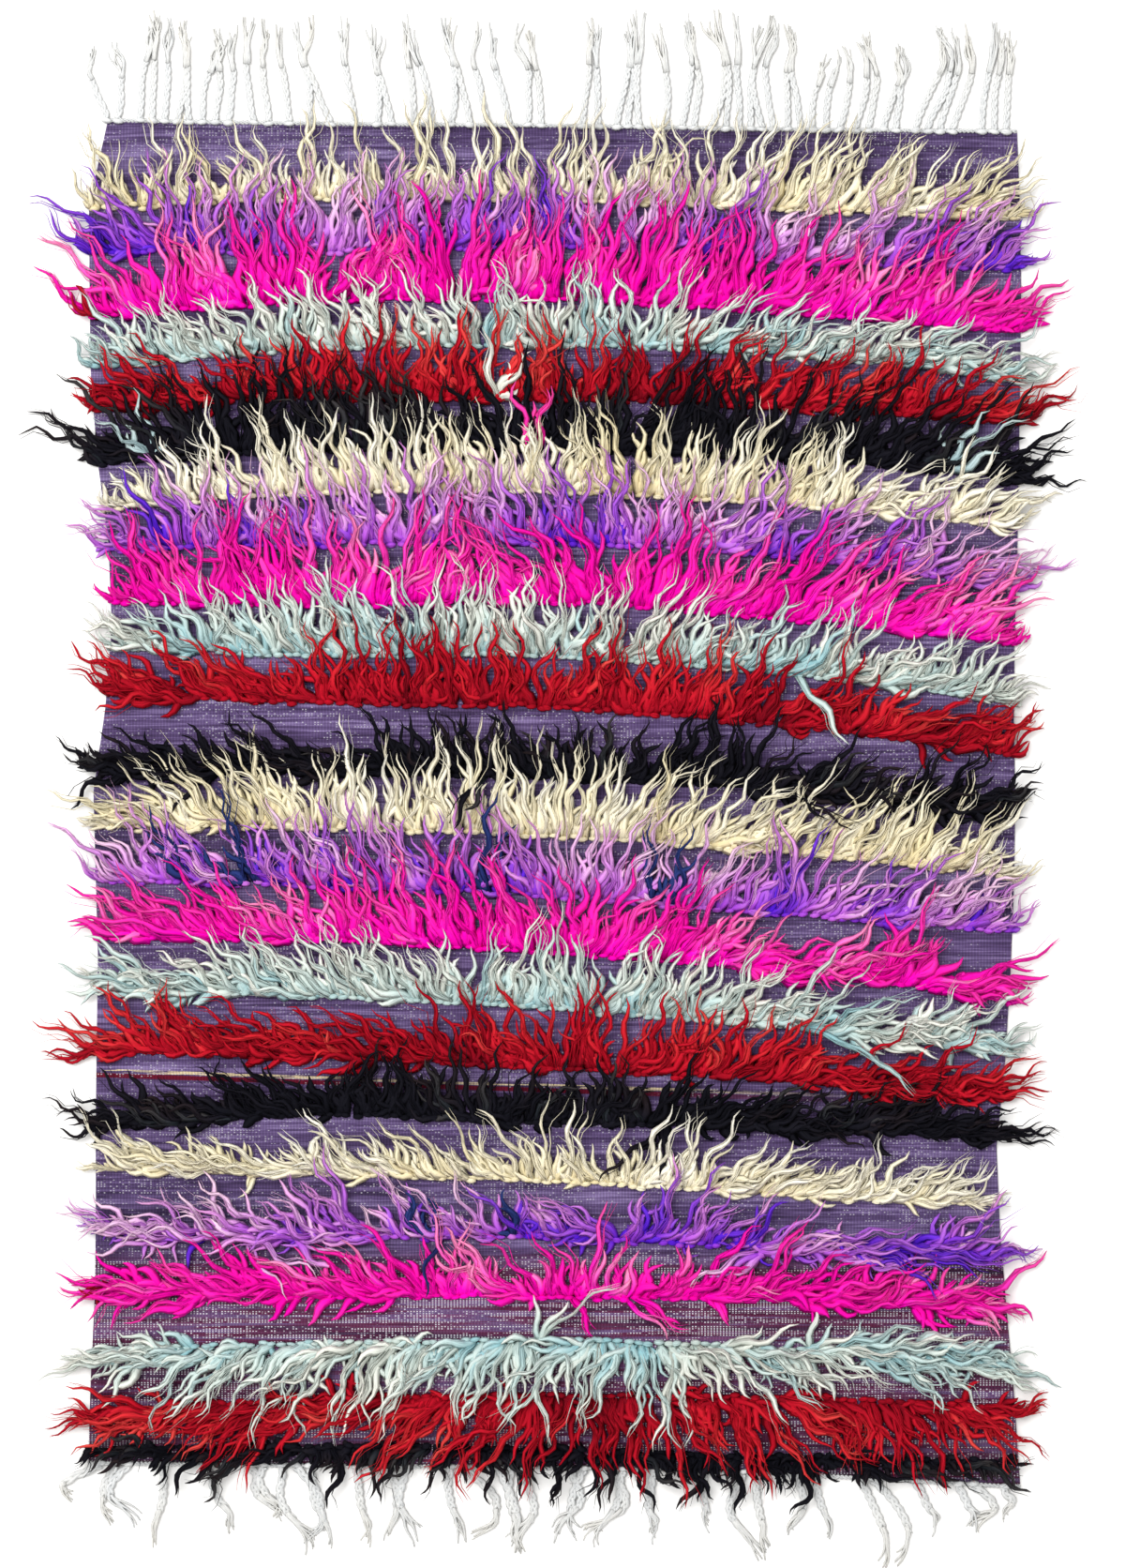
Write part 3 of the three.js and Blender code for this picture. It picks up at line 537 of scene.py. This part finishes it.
def lock_row(number):
    """One row of knots, each with a long lock, shorter ones under it, curls at its root and loose hairs."""
    row, wool = ROWS[number - 1], WOOLS[DYES[(number - 1) % len(DYES)]]
    rng = np.random.default_rng(LOCK_SEED + number)
    middle = row["root"][2]
    left, right = selvedge("left", middle) + END_INSET, selvedge("right", middle) - END_INSET
    x = np.linspace(left, right, KNOTS) + rng.normal(0, KNOT_JITTER[0], KNOTS)
    y = across(row["root"], x) + rng.normal(0, KNOT_JITTER[1], KNOTS)
    lean = np.radians(across(row["lean"], x))
    edge_gap = np.minimum(x - left, right - x) + END_INSET
    at_end = edge_gap < END_ZONE
    if "inner" in row:
        inside = [row["inner"][0], *row["lean"][1:-1], row["inner"][1]]
        lean = np.where(at_end, lean, np.radians(across(inside, x)))
    tint = across(row.get("tone", wool["tone"]), x) + TINT_DRIFT * drift(rng, x, TINT_DRIFT_SPACING)
    tint = np.clip(tint + TINT_SCATTER * rng.normal(0, 1, KNOTS), LEAST_TINT, MOST_TINT)
    for place, colour in ODD_LOCKS.get(number, []):
        tint[np.argmin(abs(x - place))] = colour
    odd = tint > ODD_TINT
    turned = np.where(rng.random(KNOTS) < row["turned"], math.pi, 0) * np.sign(rng.random(KNOTS) - 0.5)
    past = np.where(x < 0, row["past"][0], row["past"][1])
    end_reach = (edge_gap + past) / np.maximum(abs(np.sin(lean)), LEAST_SLANT)
    end_reach = np.clip(end_reach, LEAST_END_REACH * row["length"], MOST_END_REACH)
    bundle = np.cumsum(rng.random(KNOTS) < BUNDLE_BREAKS)
    bundle -= bundle[0]
    bundle_x = (np.bincount(bundle, x) / np.bincount(bundle))[bundle]
    clumps = 2 * math.pi * CLUMP_TURN * drift(rng, x, CLUMP_SPACING)
    sway = drift(rng, x, SWAY_SPACING)

    yarns = Yarns()
    add_knots(yarns, x, y, rng, tint)
    for number_down, tuft in enumerate(TUFTS):
        length = row["length"] * rng.uniform(*tuft["reach"], KNOTS)
        if number_down == 0:
            full = across(row.get("full", FULL_LOCKS), x)
            length *= np.where(rng.random(KNOTS) < full, 1, WORN_LENGTH)
        else:
            length *= across(row.get("cover", FULL_COVER), x)
        end_length = end_reach * tuft["reach"][0] * rng.uniform(*END_REACHES, KNOTS)
        length = np.where(at_end, end_length, length)
        astray = STRAY_LOCKS.get(number, []) if number_down == 0 else []
        unevenness = min(row["stray"] * tuft["stray"], MOST_STRAY)
        if number_down >= FIRST_CURL:
            unevenness = row.get("tangle", unevenness)
        stray = np.radians(unevenness) * np.where(at_end, END_STRAY, 1.0)
        gather = GATHER * np.arctan((bundle_x - x) * np.cos(lean) / length) * ~at_end
        astray_by = SWAY_STRAY * sway + OWN_STRAY * rng.normal(0, 1, KNOTS)
        heading = lean + turned + gather + stray * astray_by
        loft = np.full(KNOTS, tuft["loft"])
        climb = rng.uniform(*tuft["climb"], KNOTS) + np.where(odd, ODD_CLIMB, 0)
        for place, way, long in astray:
            knot = np.argmin(abs(x - place))
            heading[knot], length[knot] = np.radians(way), long
            loft[knot] += STRAY_LIFT
            climb[knot] = tuft["climb"][1]
        bend = np.radians(BEND) * (BEND_SWAY * sway + rng.normal(0, 1, KNOTS))
        wave = np.radians(wool["wave"]) * tuft["curl"] * rng.uniform(*WAVES, KNOTS)
        wavelength = wool["wavelength"] * rng.uniform(*WAVELENGTHS, KNOTS)
        phase = clumps + rng.normal(0, PHASE_SCATTER + PHASE_STEP * number_down, KNOTS)
        start_x = x + rng.normal(0, ROOT_SCATTER, KNOTS)
        start = np.stack([start_x, y + ROOT_LEAD * np.cos(lean) - ROOT_BACK], -1)
        path, side, far, share = wander(start, heading, length, bend, wave, wavelength, phase, tuft["steps"])
        lay_down(path, far, share, loft, climb, rng.uniform(*RIPPLES, KNOTS), phase)
        broad = wool["width"] * tuft["broad"] * rng.uniform(*BREADTHS, KNOTS)
        broad *= np.where(at_end, END_BROAD, 1)
        if number_down >= FIRST_CURL and "tangle" in row:
            broad *= FINE_CURL
        width = broad[:, None] * np.interp(share, TUFT_SHARES, TUFT_WIDTHS)
        width *= rng.uniform(*STEP_BREADTHS, share.shape)
        # Painted light in each tuft's tint: the top tuft lighter as a painted highlight, lower tufts darker as
        # painted shade, plus the tuft's own random tone.
        own = tint + TOP_HIGHLIGHT_TINT - UNDER_SHADE_STEP * number_down + rng.normal(0, OWN_TINT, KNOTS)
        own = np.where(odd, tint, np.clip(own, 0, MOST_TINT))
        yarns.add(path, side, width, width * FLATNESS + LEAST_THICK, HAIR, own, share)
        if number_down == 0:
            add_hairs(yarns, path, side, width, share, own, rng)
    return yarns


def add_knots(yarns, x, y, rng, tint):
    """The wool loops round the warps, side by side along the root line."""
    steps = np.linspace(-1, 1, len(KNOT_ROUNDING))
    count = len(x)
    path = np.zeros((count, len(steps), 3))
    path[..., 0] = x[:, None] + steps * KNOT_WIDTH / 2
    path[..., 1] = y[:, None] + rng.normal(0, KNOT_SCATTER, (count, 1))
    path[..., 1] += KNOT_TILT * steps * rng.normal(0, 1, (count, 1))
    path[..., 2] = CLOTH_THICK + KNOT_SEAT
    side = np.zeros_like(path)
    side[..., 1] = -1
    height = KNOT_HEIGHT * rng.uniform(*KNOT_HEIGHTS, (count, 1)) * np.array(KNOT_ROUNDING)
    along = np.full(height.shape, KNOT_ALONG)
    yarns.add(path, side, height * KNOT_BREADTH, height, KNOT_LOOP, tint * KNOT_TINT, along)


def add_hairs(yarns, path, side, width, share, tint, rng):
    """Loose hairs over each lock, parting from it towards the tip."""
    count, steps, _ = path.shape
    pick = np.linspace(0, steps - 1, HAIR_STEPS)
    low = np.minimum(pick.astype(int), steps - 2)

    def thinned(values):
        part = (pick - low).reshape(-1, *[1] * (values.ndim - 2))
        return values[:, low] * (1 - part) + values[:, low + 1] * part

    line, across_way, broad, along = (thinned(v) for v in (path, side, width, share))
    for spread in HAIR_SPREADS:
        offset = rng.uniform(*HAIR_PLACES, (count, 1)) * broad
        offset += rng.normal(0, spread, (count, 1)) * along ** 2
        ripples = rng.uniform(*HAIR_RIPPLES, (count, 1))
        start = HAIR_PHASES * rng.random((count, 1))
        offset += rng.uniform(*HAIR_SWINGS, (count, 1)) * np.sin(along * ripples + start)
        hair = line + across_way * offset[..., None]
        hair[..., 2] += HAIR_RIDE * broad + HAIR_CLEAR
        thin = rng.uniform(*HAIR_WIDTHS, (count, 1)) * (1.05 - along) ** HAIR_TAPER
        yarns.add(hair, across_way, thin, thin * HAIR_THICK, HAIR, tint, along)


def fringe_yarns(fringe):
    """Plaits along one end edge, with the knots they hang from, the twisted edge and their loose ends."""
    edge, up, tangle, stout = (fringe[key] for key in ("edge", "up", "tangle", "stout"))
    rng = np.random.default_rng(FRINGE_SEED + up)
    places = [(c, i - (c["count"] - 1) / 2) for c in fringe["plaits"] for i in range(c["count"])]
    one_each = (len(places), 1)
    root_x = np.array([c["x"] + i * c["pitch"] for c, i in places], float)
    tip_x = np.array([c["x"] + c["shift"] + i * c["tip_pitch"] for c, i in places], float)
    length = np.array([c["length"] for c, _ in places], float) * rng.uniform(*PLAIT_LENGTHS, len(places))
    root_y = across(edge, root_x) + up * PLAIT_LEAD
    bow = rng.normal(0, tangle, one_each)
    curl = rng.normal(0, tangle, one_each)
    kink = rng.normal(0, KINK, one_each)
    kink_start = KINK_PHASES * rng.random(one_each)

    def centre(share):
        """Points at shares of the way, and the way that the plait runs there."""
        joined = np.minimum(share / BRAID_SHARE, 1) ** JOIN_CURVE
        x = root_x[:, None] + (tip_x - root_x)[:, None] * joined + bow * np.sin(math.pi * share)
        kinks = kink * np.sin(KINK_TURNS * share + kink_start) * share
        x += curl * np.sin(CURL_TURNS * share) * share + kinks
        y = root_y[:, None] + up * length[:, None] * share
        way = np.stack([np.gradient(x, axis=1), np.gradient(y, axis=1)], -1)
        way /= np.linalg.norm(way, axis=2, keepdims=True)
        side = np.stack([way[..., 1], -way[..., 0], np.zeros_like(x)], -1)
        return np.stack([x, y, np.zeros_like(x)], -1), side

    yarns = Yarns()
    share = np.broadcast_to(np.linspace(0, BRAID_SHARE, BRAID_STEPS), (len(places), BRAID_STEPS))
    middle, side = centre(share)
    start_turn = 2 * math.pi * rng.random(one_each)
    soil = rng.uniform(0, SOIL, len(places))
    for ply in range(PLIES):
        turn = 2 * math.pi * (share * length[:, None] / BRAID_TURN + ply / PLIES) + start_turn
        path = middle + side * (BRAID_SWING * stout * np.sin(turn))[..., None]
        path[..., 2] = PLAIT_HEIGHT + BRAID_LIFT * np.sin(2 * turn)
        taper = np.interp(share, [0, TAPER_START * BRAID_SHARE, BRAID_SHARE], [1, 1, TAPER_END])
        width = PLY_WIDTH * stout * taper
        yarns.add(path, side, width, width * PLY_HEIGHT, ROUND_YARN, soil, share)
    for end in range(FRAY_ENDS):
        loose = np.linspace(BRAID_SHARE - FRAY_OVERLAP, 1, FRAY_STEPS)
        loose = np.broadcast_to(loose, (len(places), FRAY_STEPS))
        middle, side = centre(loose)
        open_up = (loose - BRAID_SHARE).clip(0) / (1 - BRAID_SHARE)
        spread = (end - (FRAY_ENDS - 1) / 2) * rng.uniform(*FRAY_SPREADS, one_each) * open_up
        off_line = rng.normal(0, FRAY_SCATTER, one_each)
        spread += off_line + rng.normal(0, FRAY_WAVE, one_each) * np.sin(open_up * FRAY_TURNS)
        path = middle + side * spread[..., None]
        path[..., 1] += up * rng.uniform(*FRAY_LENGTHS, one_each) * open_up
        path[..., 2] = FRAY_HEIGHT + FRAY_DROP * (1 - open_up) + rng.uniform(0, FRAY_LIFT, one_each)
        width = rng.uniform(*FRAY_WIDTHS, one_each) * (FRAY_START - FRAY_TAPER * open_up)
        end_soil = soil + rng.uniform(0, END_SOIL, len(places))
        yarns.add(path, side, width, width * FRAY_THICK, HAIR, end_soil, loose)
    add_knots(yarns, root_x, root_y - up * ROOT_KNOT_BACK, rng, soil)
    add_edge_cord(yarns, edge, up)
    return yarns


def add_edge_cord(yarns, edge, up):
    """Two white yarns twisted round each other along the end edge."""
    corners = SELVEDGES[0] if up > 0 else SELVEDGES[-1]
    x = np.linspace(corners["left"], corners["right"], CORD_STEPS)
    y = across(edge, x) + up * CORD_LEAD
    for ply in range(2):
        turn = 2 * math.pi * x / CORD_TURN + math.pi * ply
        path = np.stack([x, y + CORD_SWING * np.cos(turn), CORD_HEIGHT + CORD_SWING * np.sin(turn)], -1)[None]
        side = np.zeros_like(path)
        side[..., 1] = -1
        width = np.full((1, len(x)), CORD_WIDTH)
        along = np.full(width.shape, CORD_ALONG)
        yarns.add(path, side, width, width, HAIR, np.array([CORD_TINT]), along)


class Value:
    """A socket of a material that takes part in Python sums."""

    def __init__(self, finish, socket):
        self.finish, self.socket = finish, socket

    def sum(self, operation, *terms):
        return self.finish.node("Math", {"operation": operation}, dict(enumerate(terms)))

    def __add__(self, other):
        return self.sum("ADD", self, other)

    def __radd__(self, other):
        return self.sum("ADD", other, self)

    def __sub__(self, other):
        return self.sum("SUBTRACT", self, other)

    def __rsub__(self, other):
        return self.sum("SUBTRACT", other, self)

    def __mul__(self, other):
        return self.sum("MULTIPLY", self, other)

    def __rmul__(self, other):
        return self.sum("MULTIPLY", other, self)

    def __truediv__(self, other):
        return self.sum("DIVIDE", self, other)

    def __abs__(self):
        return self.sum("ABSOLUTE", self)

    def __gt__(self, other):
        return self.sum("GREATER_THAN", self, other)

    def __lt__(self, other):
        return self.sum("LESS_THAN", self, other)

    def wrapped(self):
        return self.sum("FRACT", self)

    def whole(self):
        return self.sum("FLOOR", self)

    def sine(self):
        return self.sum("SINE", self)

    def limited(self):
        return self.sum("MINIMUM", self.sum("MAXIMUM", self, 0.0), 1.0)


class Finish:
    """One procedural material and the nodes it is made of."""

    def __init__(self, name, roughness):
        self.material = bpy.data.materials.new(name)
        self.material.use_nodes = True
        self.tree = self.material.node_tree
        self.shader = self.tree.nodes["Principled BSDF"]
        self.shader.inputs["Roughness"].default_value = roughness
        self.shader.inputs["Specular IOR Level"].default_value = 0.06

    def node(self, kind, settings=None, sockets=None, output=0):
        made = self.tree.nodes.new("ShaderNode" + kind)
        for setting, value in (settings or {}).items():
            if setting == "stops":
                self.set_stops(made.color_ramp, value)
            else:
                setattr(made, setting, value)
        for socket, value in (sockets or {}).items():
            self.feed(made.inputs[socket], value)
        return Value(self, made.outputs[output])

    def feed(self, socket, value):
        if isinstance(value, Value):
            self.tree.links.new(value.socket, socket)
        else:
            socket.default_value = value

    @staticmethod
    def set_stops(ramp, stops):
        for place, _ in stops[2:]:
            ramp.elements.new(place)
        for element, (place, colour) in zip(ramp.elements, stops):
            element.position = place
            element.color = linear(colour) if isinstance(colour, str) else (colour, colour, colour, 1.0)

    def attribute(self, name, output="Fac"):
        return self.node("Attribute", {"attribute_name": name}, output=output)

    def colours(self, stops, factor):
        return self.node("ValToRGB", {"stops": stops}, {"Fac": factor})

    def mixed(self, factor, first, second, blend="MIX"):
        settings = {"data_type": "RGBA", "blend_type": blend}
        return self.node("Mix", settings, {0: factor, 6: first, 7: second}, 2)

    def stretched(self, vector, scale):
        return self.node("VectorMath", {"operation": "MULTIPLY"}, {0: vector, 1: scale})

    def noise(self, vector, scale, detail=2.0, roughness=0.5):
        sockets = {"Vector": vector, "Scale": scale, "Detail": detail, "Roughness": roughness}
        return self.node("TexNoise", None, sockets)

    def bump(self, height, strength, distance):
        normal = self.node("Bump", None, {"Height": height, "Strength": strength, "Distance": distance})
        self.feed(self.shader.inputs["Normal"], normal)

    def paint(self, colour):
        self.feed(self.shader.inputs["Base Color"], colour)


def wool_finish(dye):
    """Dyed wool: a colour from root to tip for each lock, streaked along its fibres."""
    wool = WOOLS[dye]
    finish = Finish(f"{dye}_wool", 0.75)
    tint, along = finish.attribute("tint"), finish.attribute("along")
    fibre = finish.attribute("fibre", "Vector")
    # The tint attribute holds each tuft's tone, with painted shade on the lower tufts and a painted highlight
    # on the top one.
    roots, tips = finish.colours(wool["roots"], tint), finish.colours(wool["tips"], tint)
    faded = finish.mixed((along * 1.5 - 0.25).limited(), roots, tips)
    streak = finish.noise(finish.stretched(fibre, WOOL_STREAK), 1.0, 3.0, 0.65)
    shade = finish.colours([(0.3, 0.5), (0.47, 0.94), (0.65, 1.0)], streak)
    finish.paint(finish.mixed(1.0, faded, shade, "MULTIPLY"))
    finish.bump(streak, 0.9, 0.0016)
    return finish.material


def cotton_finish():
    """White cotton, a little greyed and soiled towards its ends."""
    finish = Finish("fringe_cotton", 0.8)
    tint, along = finish.attribute("tint"), finish.attribute("along")
    fibre = finish.attribute("fibre", "Vector")
    streak = finish.noise(finish.stretched(fibre, COTTON_STREAK), 1.0, 3.0, 0.6)
    clean = finish.colours([(0.25, "#b2b4b6"), (0.6, "#d5d6d5")], streak)
    finish.paint(finish.mixed((along * tint * 0.4).limited(), clean, linear("#d8cdb4")))
    finish.bump(streak, 0.8, 0.0008)
    return finish.material


def ground_finish():
    """Weft-faced weave: streaky purple wefts, ribs over the warps and white specks where the warps show."""
    finish = Finish("ground_weave", 0.85)
    place = finish.node("TexCoord", output="Object")
    parts = finish.node("SeparateXYZ", None, {"Vector": place})
    x = Value(finish, parts.socket.node.outputs["X"]) * (1 / MM)
    y = Value(finish, parts.socket.node.outputs["Y"]) * (1 / MM)
    picks = finish.noise(finish.stretched(place, PICK_STREAK), 1.0, 4.0, 0.65)
    bands = finish.noise(finish.stretched(place, BAND_STREAK), 1.0, 3.0, 0.6)
    patches = finish.noise(finish.stretched(place, PATCH_STREAK), 1.0, 3.0, 0.6)
    purples = [(0.38, "#31263f"), (0.5, "#54436a"), (0.62, "#83729c")]
    wefts = finish.colours(purples, bands * 0.4 + picks * 0.6)

    odd_wefts = finish.noise(finish.stretched(place, ODD_STREAK), 1.0, 3.0, 0.6)
    dark_reds = [(0.32, "#1c1620"), (0.42, "#3f1428"), (0.5, "#5a1c34"), (0.56, "#5e4b70"), (0.66, "#6d3a5e")]
    lower_end = ((LOWER_END - y) / LOWER_BLEND).limited()
    wefts = finish.mixed(lower_end * 0.8, wefts, finish.colours(dark_reds, odd_wefts))

    line = y + LINE_DROP + (x + LINE_LEFT) * LINE_SLOPE
    fading = ((LINE_END - x) / LINE_FADE).limited()
    wefts = finish.mixed((abs(line) < CREAM_LINE) * fading * (picks > 0.47), wefts, linear("#c2b08e"))
    wefts = finish.mixed((abs(line + RED_LINE_GAP) < RED_LINE) * fading, wefts, linear("#5c1226"))

    warp, pick = x / WARP_PITCH, y / WEFT_PITCH
    cell = finish.node("CombineXYZ", None, {"X": warp.whole(), "Y": pick.whole()})
    chance = finish.node("TexWhiteNoise", {"noise_dimensions": "2D"}, {"Vector": cell})
    open_picks = finish.noise(finish.stretched(place, OPEN_STREAK), 1.0, 3.0, 0.6)
    loose = (patches - 0.48) * 1.8 + (open_picks - 0.5) * (lower_end * 4.0 + 2.4)
    loose = loose + lower_end * 0.35 + 0.1
    dot = (abs(warp.wrapped() - 0.5) < SPECK_WIDTH) * (abs(pick.wrapped() - 0.5) < SPECK_HEIGHT)
    wefts = finish.mixed((chance < loose) * dot * (lower_end * 0.35 + 0.42), wefts, linear("#dcd8e2"))

    rib = (warp * (2 * math.pi)).sine()
    shade = finish.colours([(0.0, 0.78), (1.0, 1.06)], rib * 0.5 + 0.5)
    finish.paint(finish.mixed(1.0, wefts, shade, "MULTIPLY"))
    finish.bump(rib * 0.5 + picks, 0.6, 0.0008)
    return finish.material


def deselect():
    bpy.ops.object.select_all(action="DESELECT")


def make_piece(mesh, node, material):
    """A mesh as a piece of the rug that stands for one solid."""
    piece = bpy.data.objects.new(mesh.name, mesh)
    bpy.context.collection.objects.link(piece)
    mesh.materials.append(material)
    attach(piece, "root")
    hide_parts(node)
    return piece


def weave_ground():
    """The ground: a ribbed sheet drawn to the uneven outline, then given its thickness."""
    warps = round(2 * HALF_WIDTH / WARP_PITCH)
    deselect()
    bpy.ops.mesh.primitive_grid_add(x_subdivisions=2 * warps, y_subdivisions=WEAVE_STEPS, size=2)
    cloth = bpy.context.object
    cloth.name = cloth.data.name = "woven_ground"
    points = np.empty(len(cloth.data.vertices) * 3)
    cloth.data.vertices.foreach_get("co", points)
    points = points.reshape(-1, 3)
    u, v = points[:, 0], (points[:, 1] + 1) / 2
    low, high = across(BOTTOM_EDGE, u * HALF_WIDTH), across(TOP_EDGE, u * HALF_WIDTH)
    y = low + (high - low) * v
    left, right = selvedge("left", y), selvedge("right", y)
    x = left + (right - left) * (u + 1) / 2
    column = np.round((u + 1) * warps).astype(int)
    (first_x, first_y), (second_x, second_y) = RIPPLE_LENGTHS
    ripple = RIPPLE_HEIGHTS[0] * np.sin(x / first_x + y / first_y)
    ripple = ripple + RIPPLE_HEIGHTS[1] * np.sin(y / second_y - x / second_x)
    z = CLOTH_THICK - CLOTH_SEAT + ripple + RIB_DEPTH * (column % 2 - 0.5)
    cloth.data.vertices.foreach_set("co", (np.stack([x, y, z], -1) * MM).ravel())
    thick = cloth.modifiers.new("thickness", "SOLIDIFY")
    thick.thickness = (CLOTH_THICK - CLOTH_THINNING) * MM
    thick.offset = -1
    bpy.ops.object.modifier_apply(modifier=thick.name)
    bpy.ops.object.shade_smooth()
    cloth.data.materials.append(ground_finish())
    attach(cloth, "root")
    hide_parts("ground")
    return cloth


def set_stage():
    """A pale floor, soft light from above, and a camera straight over the rug."""
    deselect()
    bpy.ops.mesh.primitive_plane_add(size=FLOOR_SIZE)
    floor = bpy.context.object
    floor.name = "floor"
    finish = Finish("pale_floor", 0.9)
    finish.paint(linear("#efeeec"))
    floor.data.materials.append(finish.material)

    scene = bpy.context.scene
    scene.view_settings.view_transform = "Standard"
    world = bpy.data.worlds.new("studio")
    world.use_nodes = True
    sky = world.node_tree.nodes["Background"]
    sky.inputs["Color"].default_value = (1, 1, 1, 1)
    sky.inputs["Strength"].default_value = SKY_STRENGTH
    scene.world = world

    lamp = bpy.data.lights.new("soft_box", "AREA")
    lamp.energy, lamp.size = LAMP_POWER, LAMP_SIZE
    lamp_object = bpy.data.objects.new("soft_box", lamp)
    lamp_object.location = LAMP_PLACE
    lamp_object.rotation_euler = [math.radians(angle) for angle in LAMP_TILT]
    bpy.context.collection.objects.link(lamp_object)

    camera = bpy.data.cameras.new("overhead")
    camera.sensor_width = SENSOR
    camera.lens = SENSOR * CAMERA_HEIGHT / (PHOTO_HEIGHT * PIXEL)
    camera_object = bpy.data.objects.new("overhead", camera)
    middle_x = (PHOTO_WIDTH / 2 - PHOTO_MIDDLE_X) * PIXEL
    middle_y = (PHOTO_MIDDLE_Y - PHOTO_HEIGHT / 2) * PIXEL
    camera_object.location = (middle_x * MM, middle_y * MM, CAMERA_HEIGHT * MM)
    bpy.context.collection.objects.link(camera_object)
    scene.camera = camera_object
    return floor


floor = set_stage()
wools = {dye: wool_finish(dye) for dye in DYES}
cotton = cotton_finish()
ground = weave_ground()
for number in range(1, len(ROWS) + 1):
    dye = DYES[(number - 1) % len(DYES)]
    mesh = lock_row(number).mesh(f"locks_{number:02d}_{dye}")
    make_piece(mesh, f"row_{number:02d}_{dye}", wools[dye])
for fringe in FRINGES:
    mesh = fringe_yarns(fringe).mesh(f"plaits_{fringe['name']}")
    make_piece(mesh, f"fringe_{fringe['name']}", cotton)
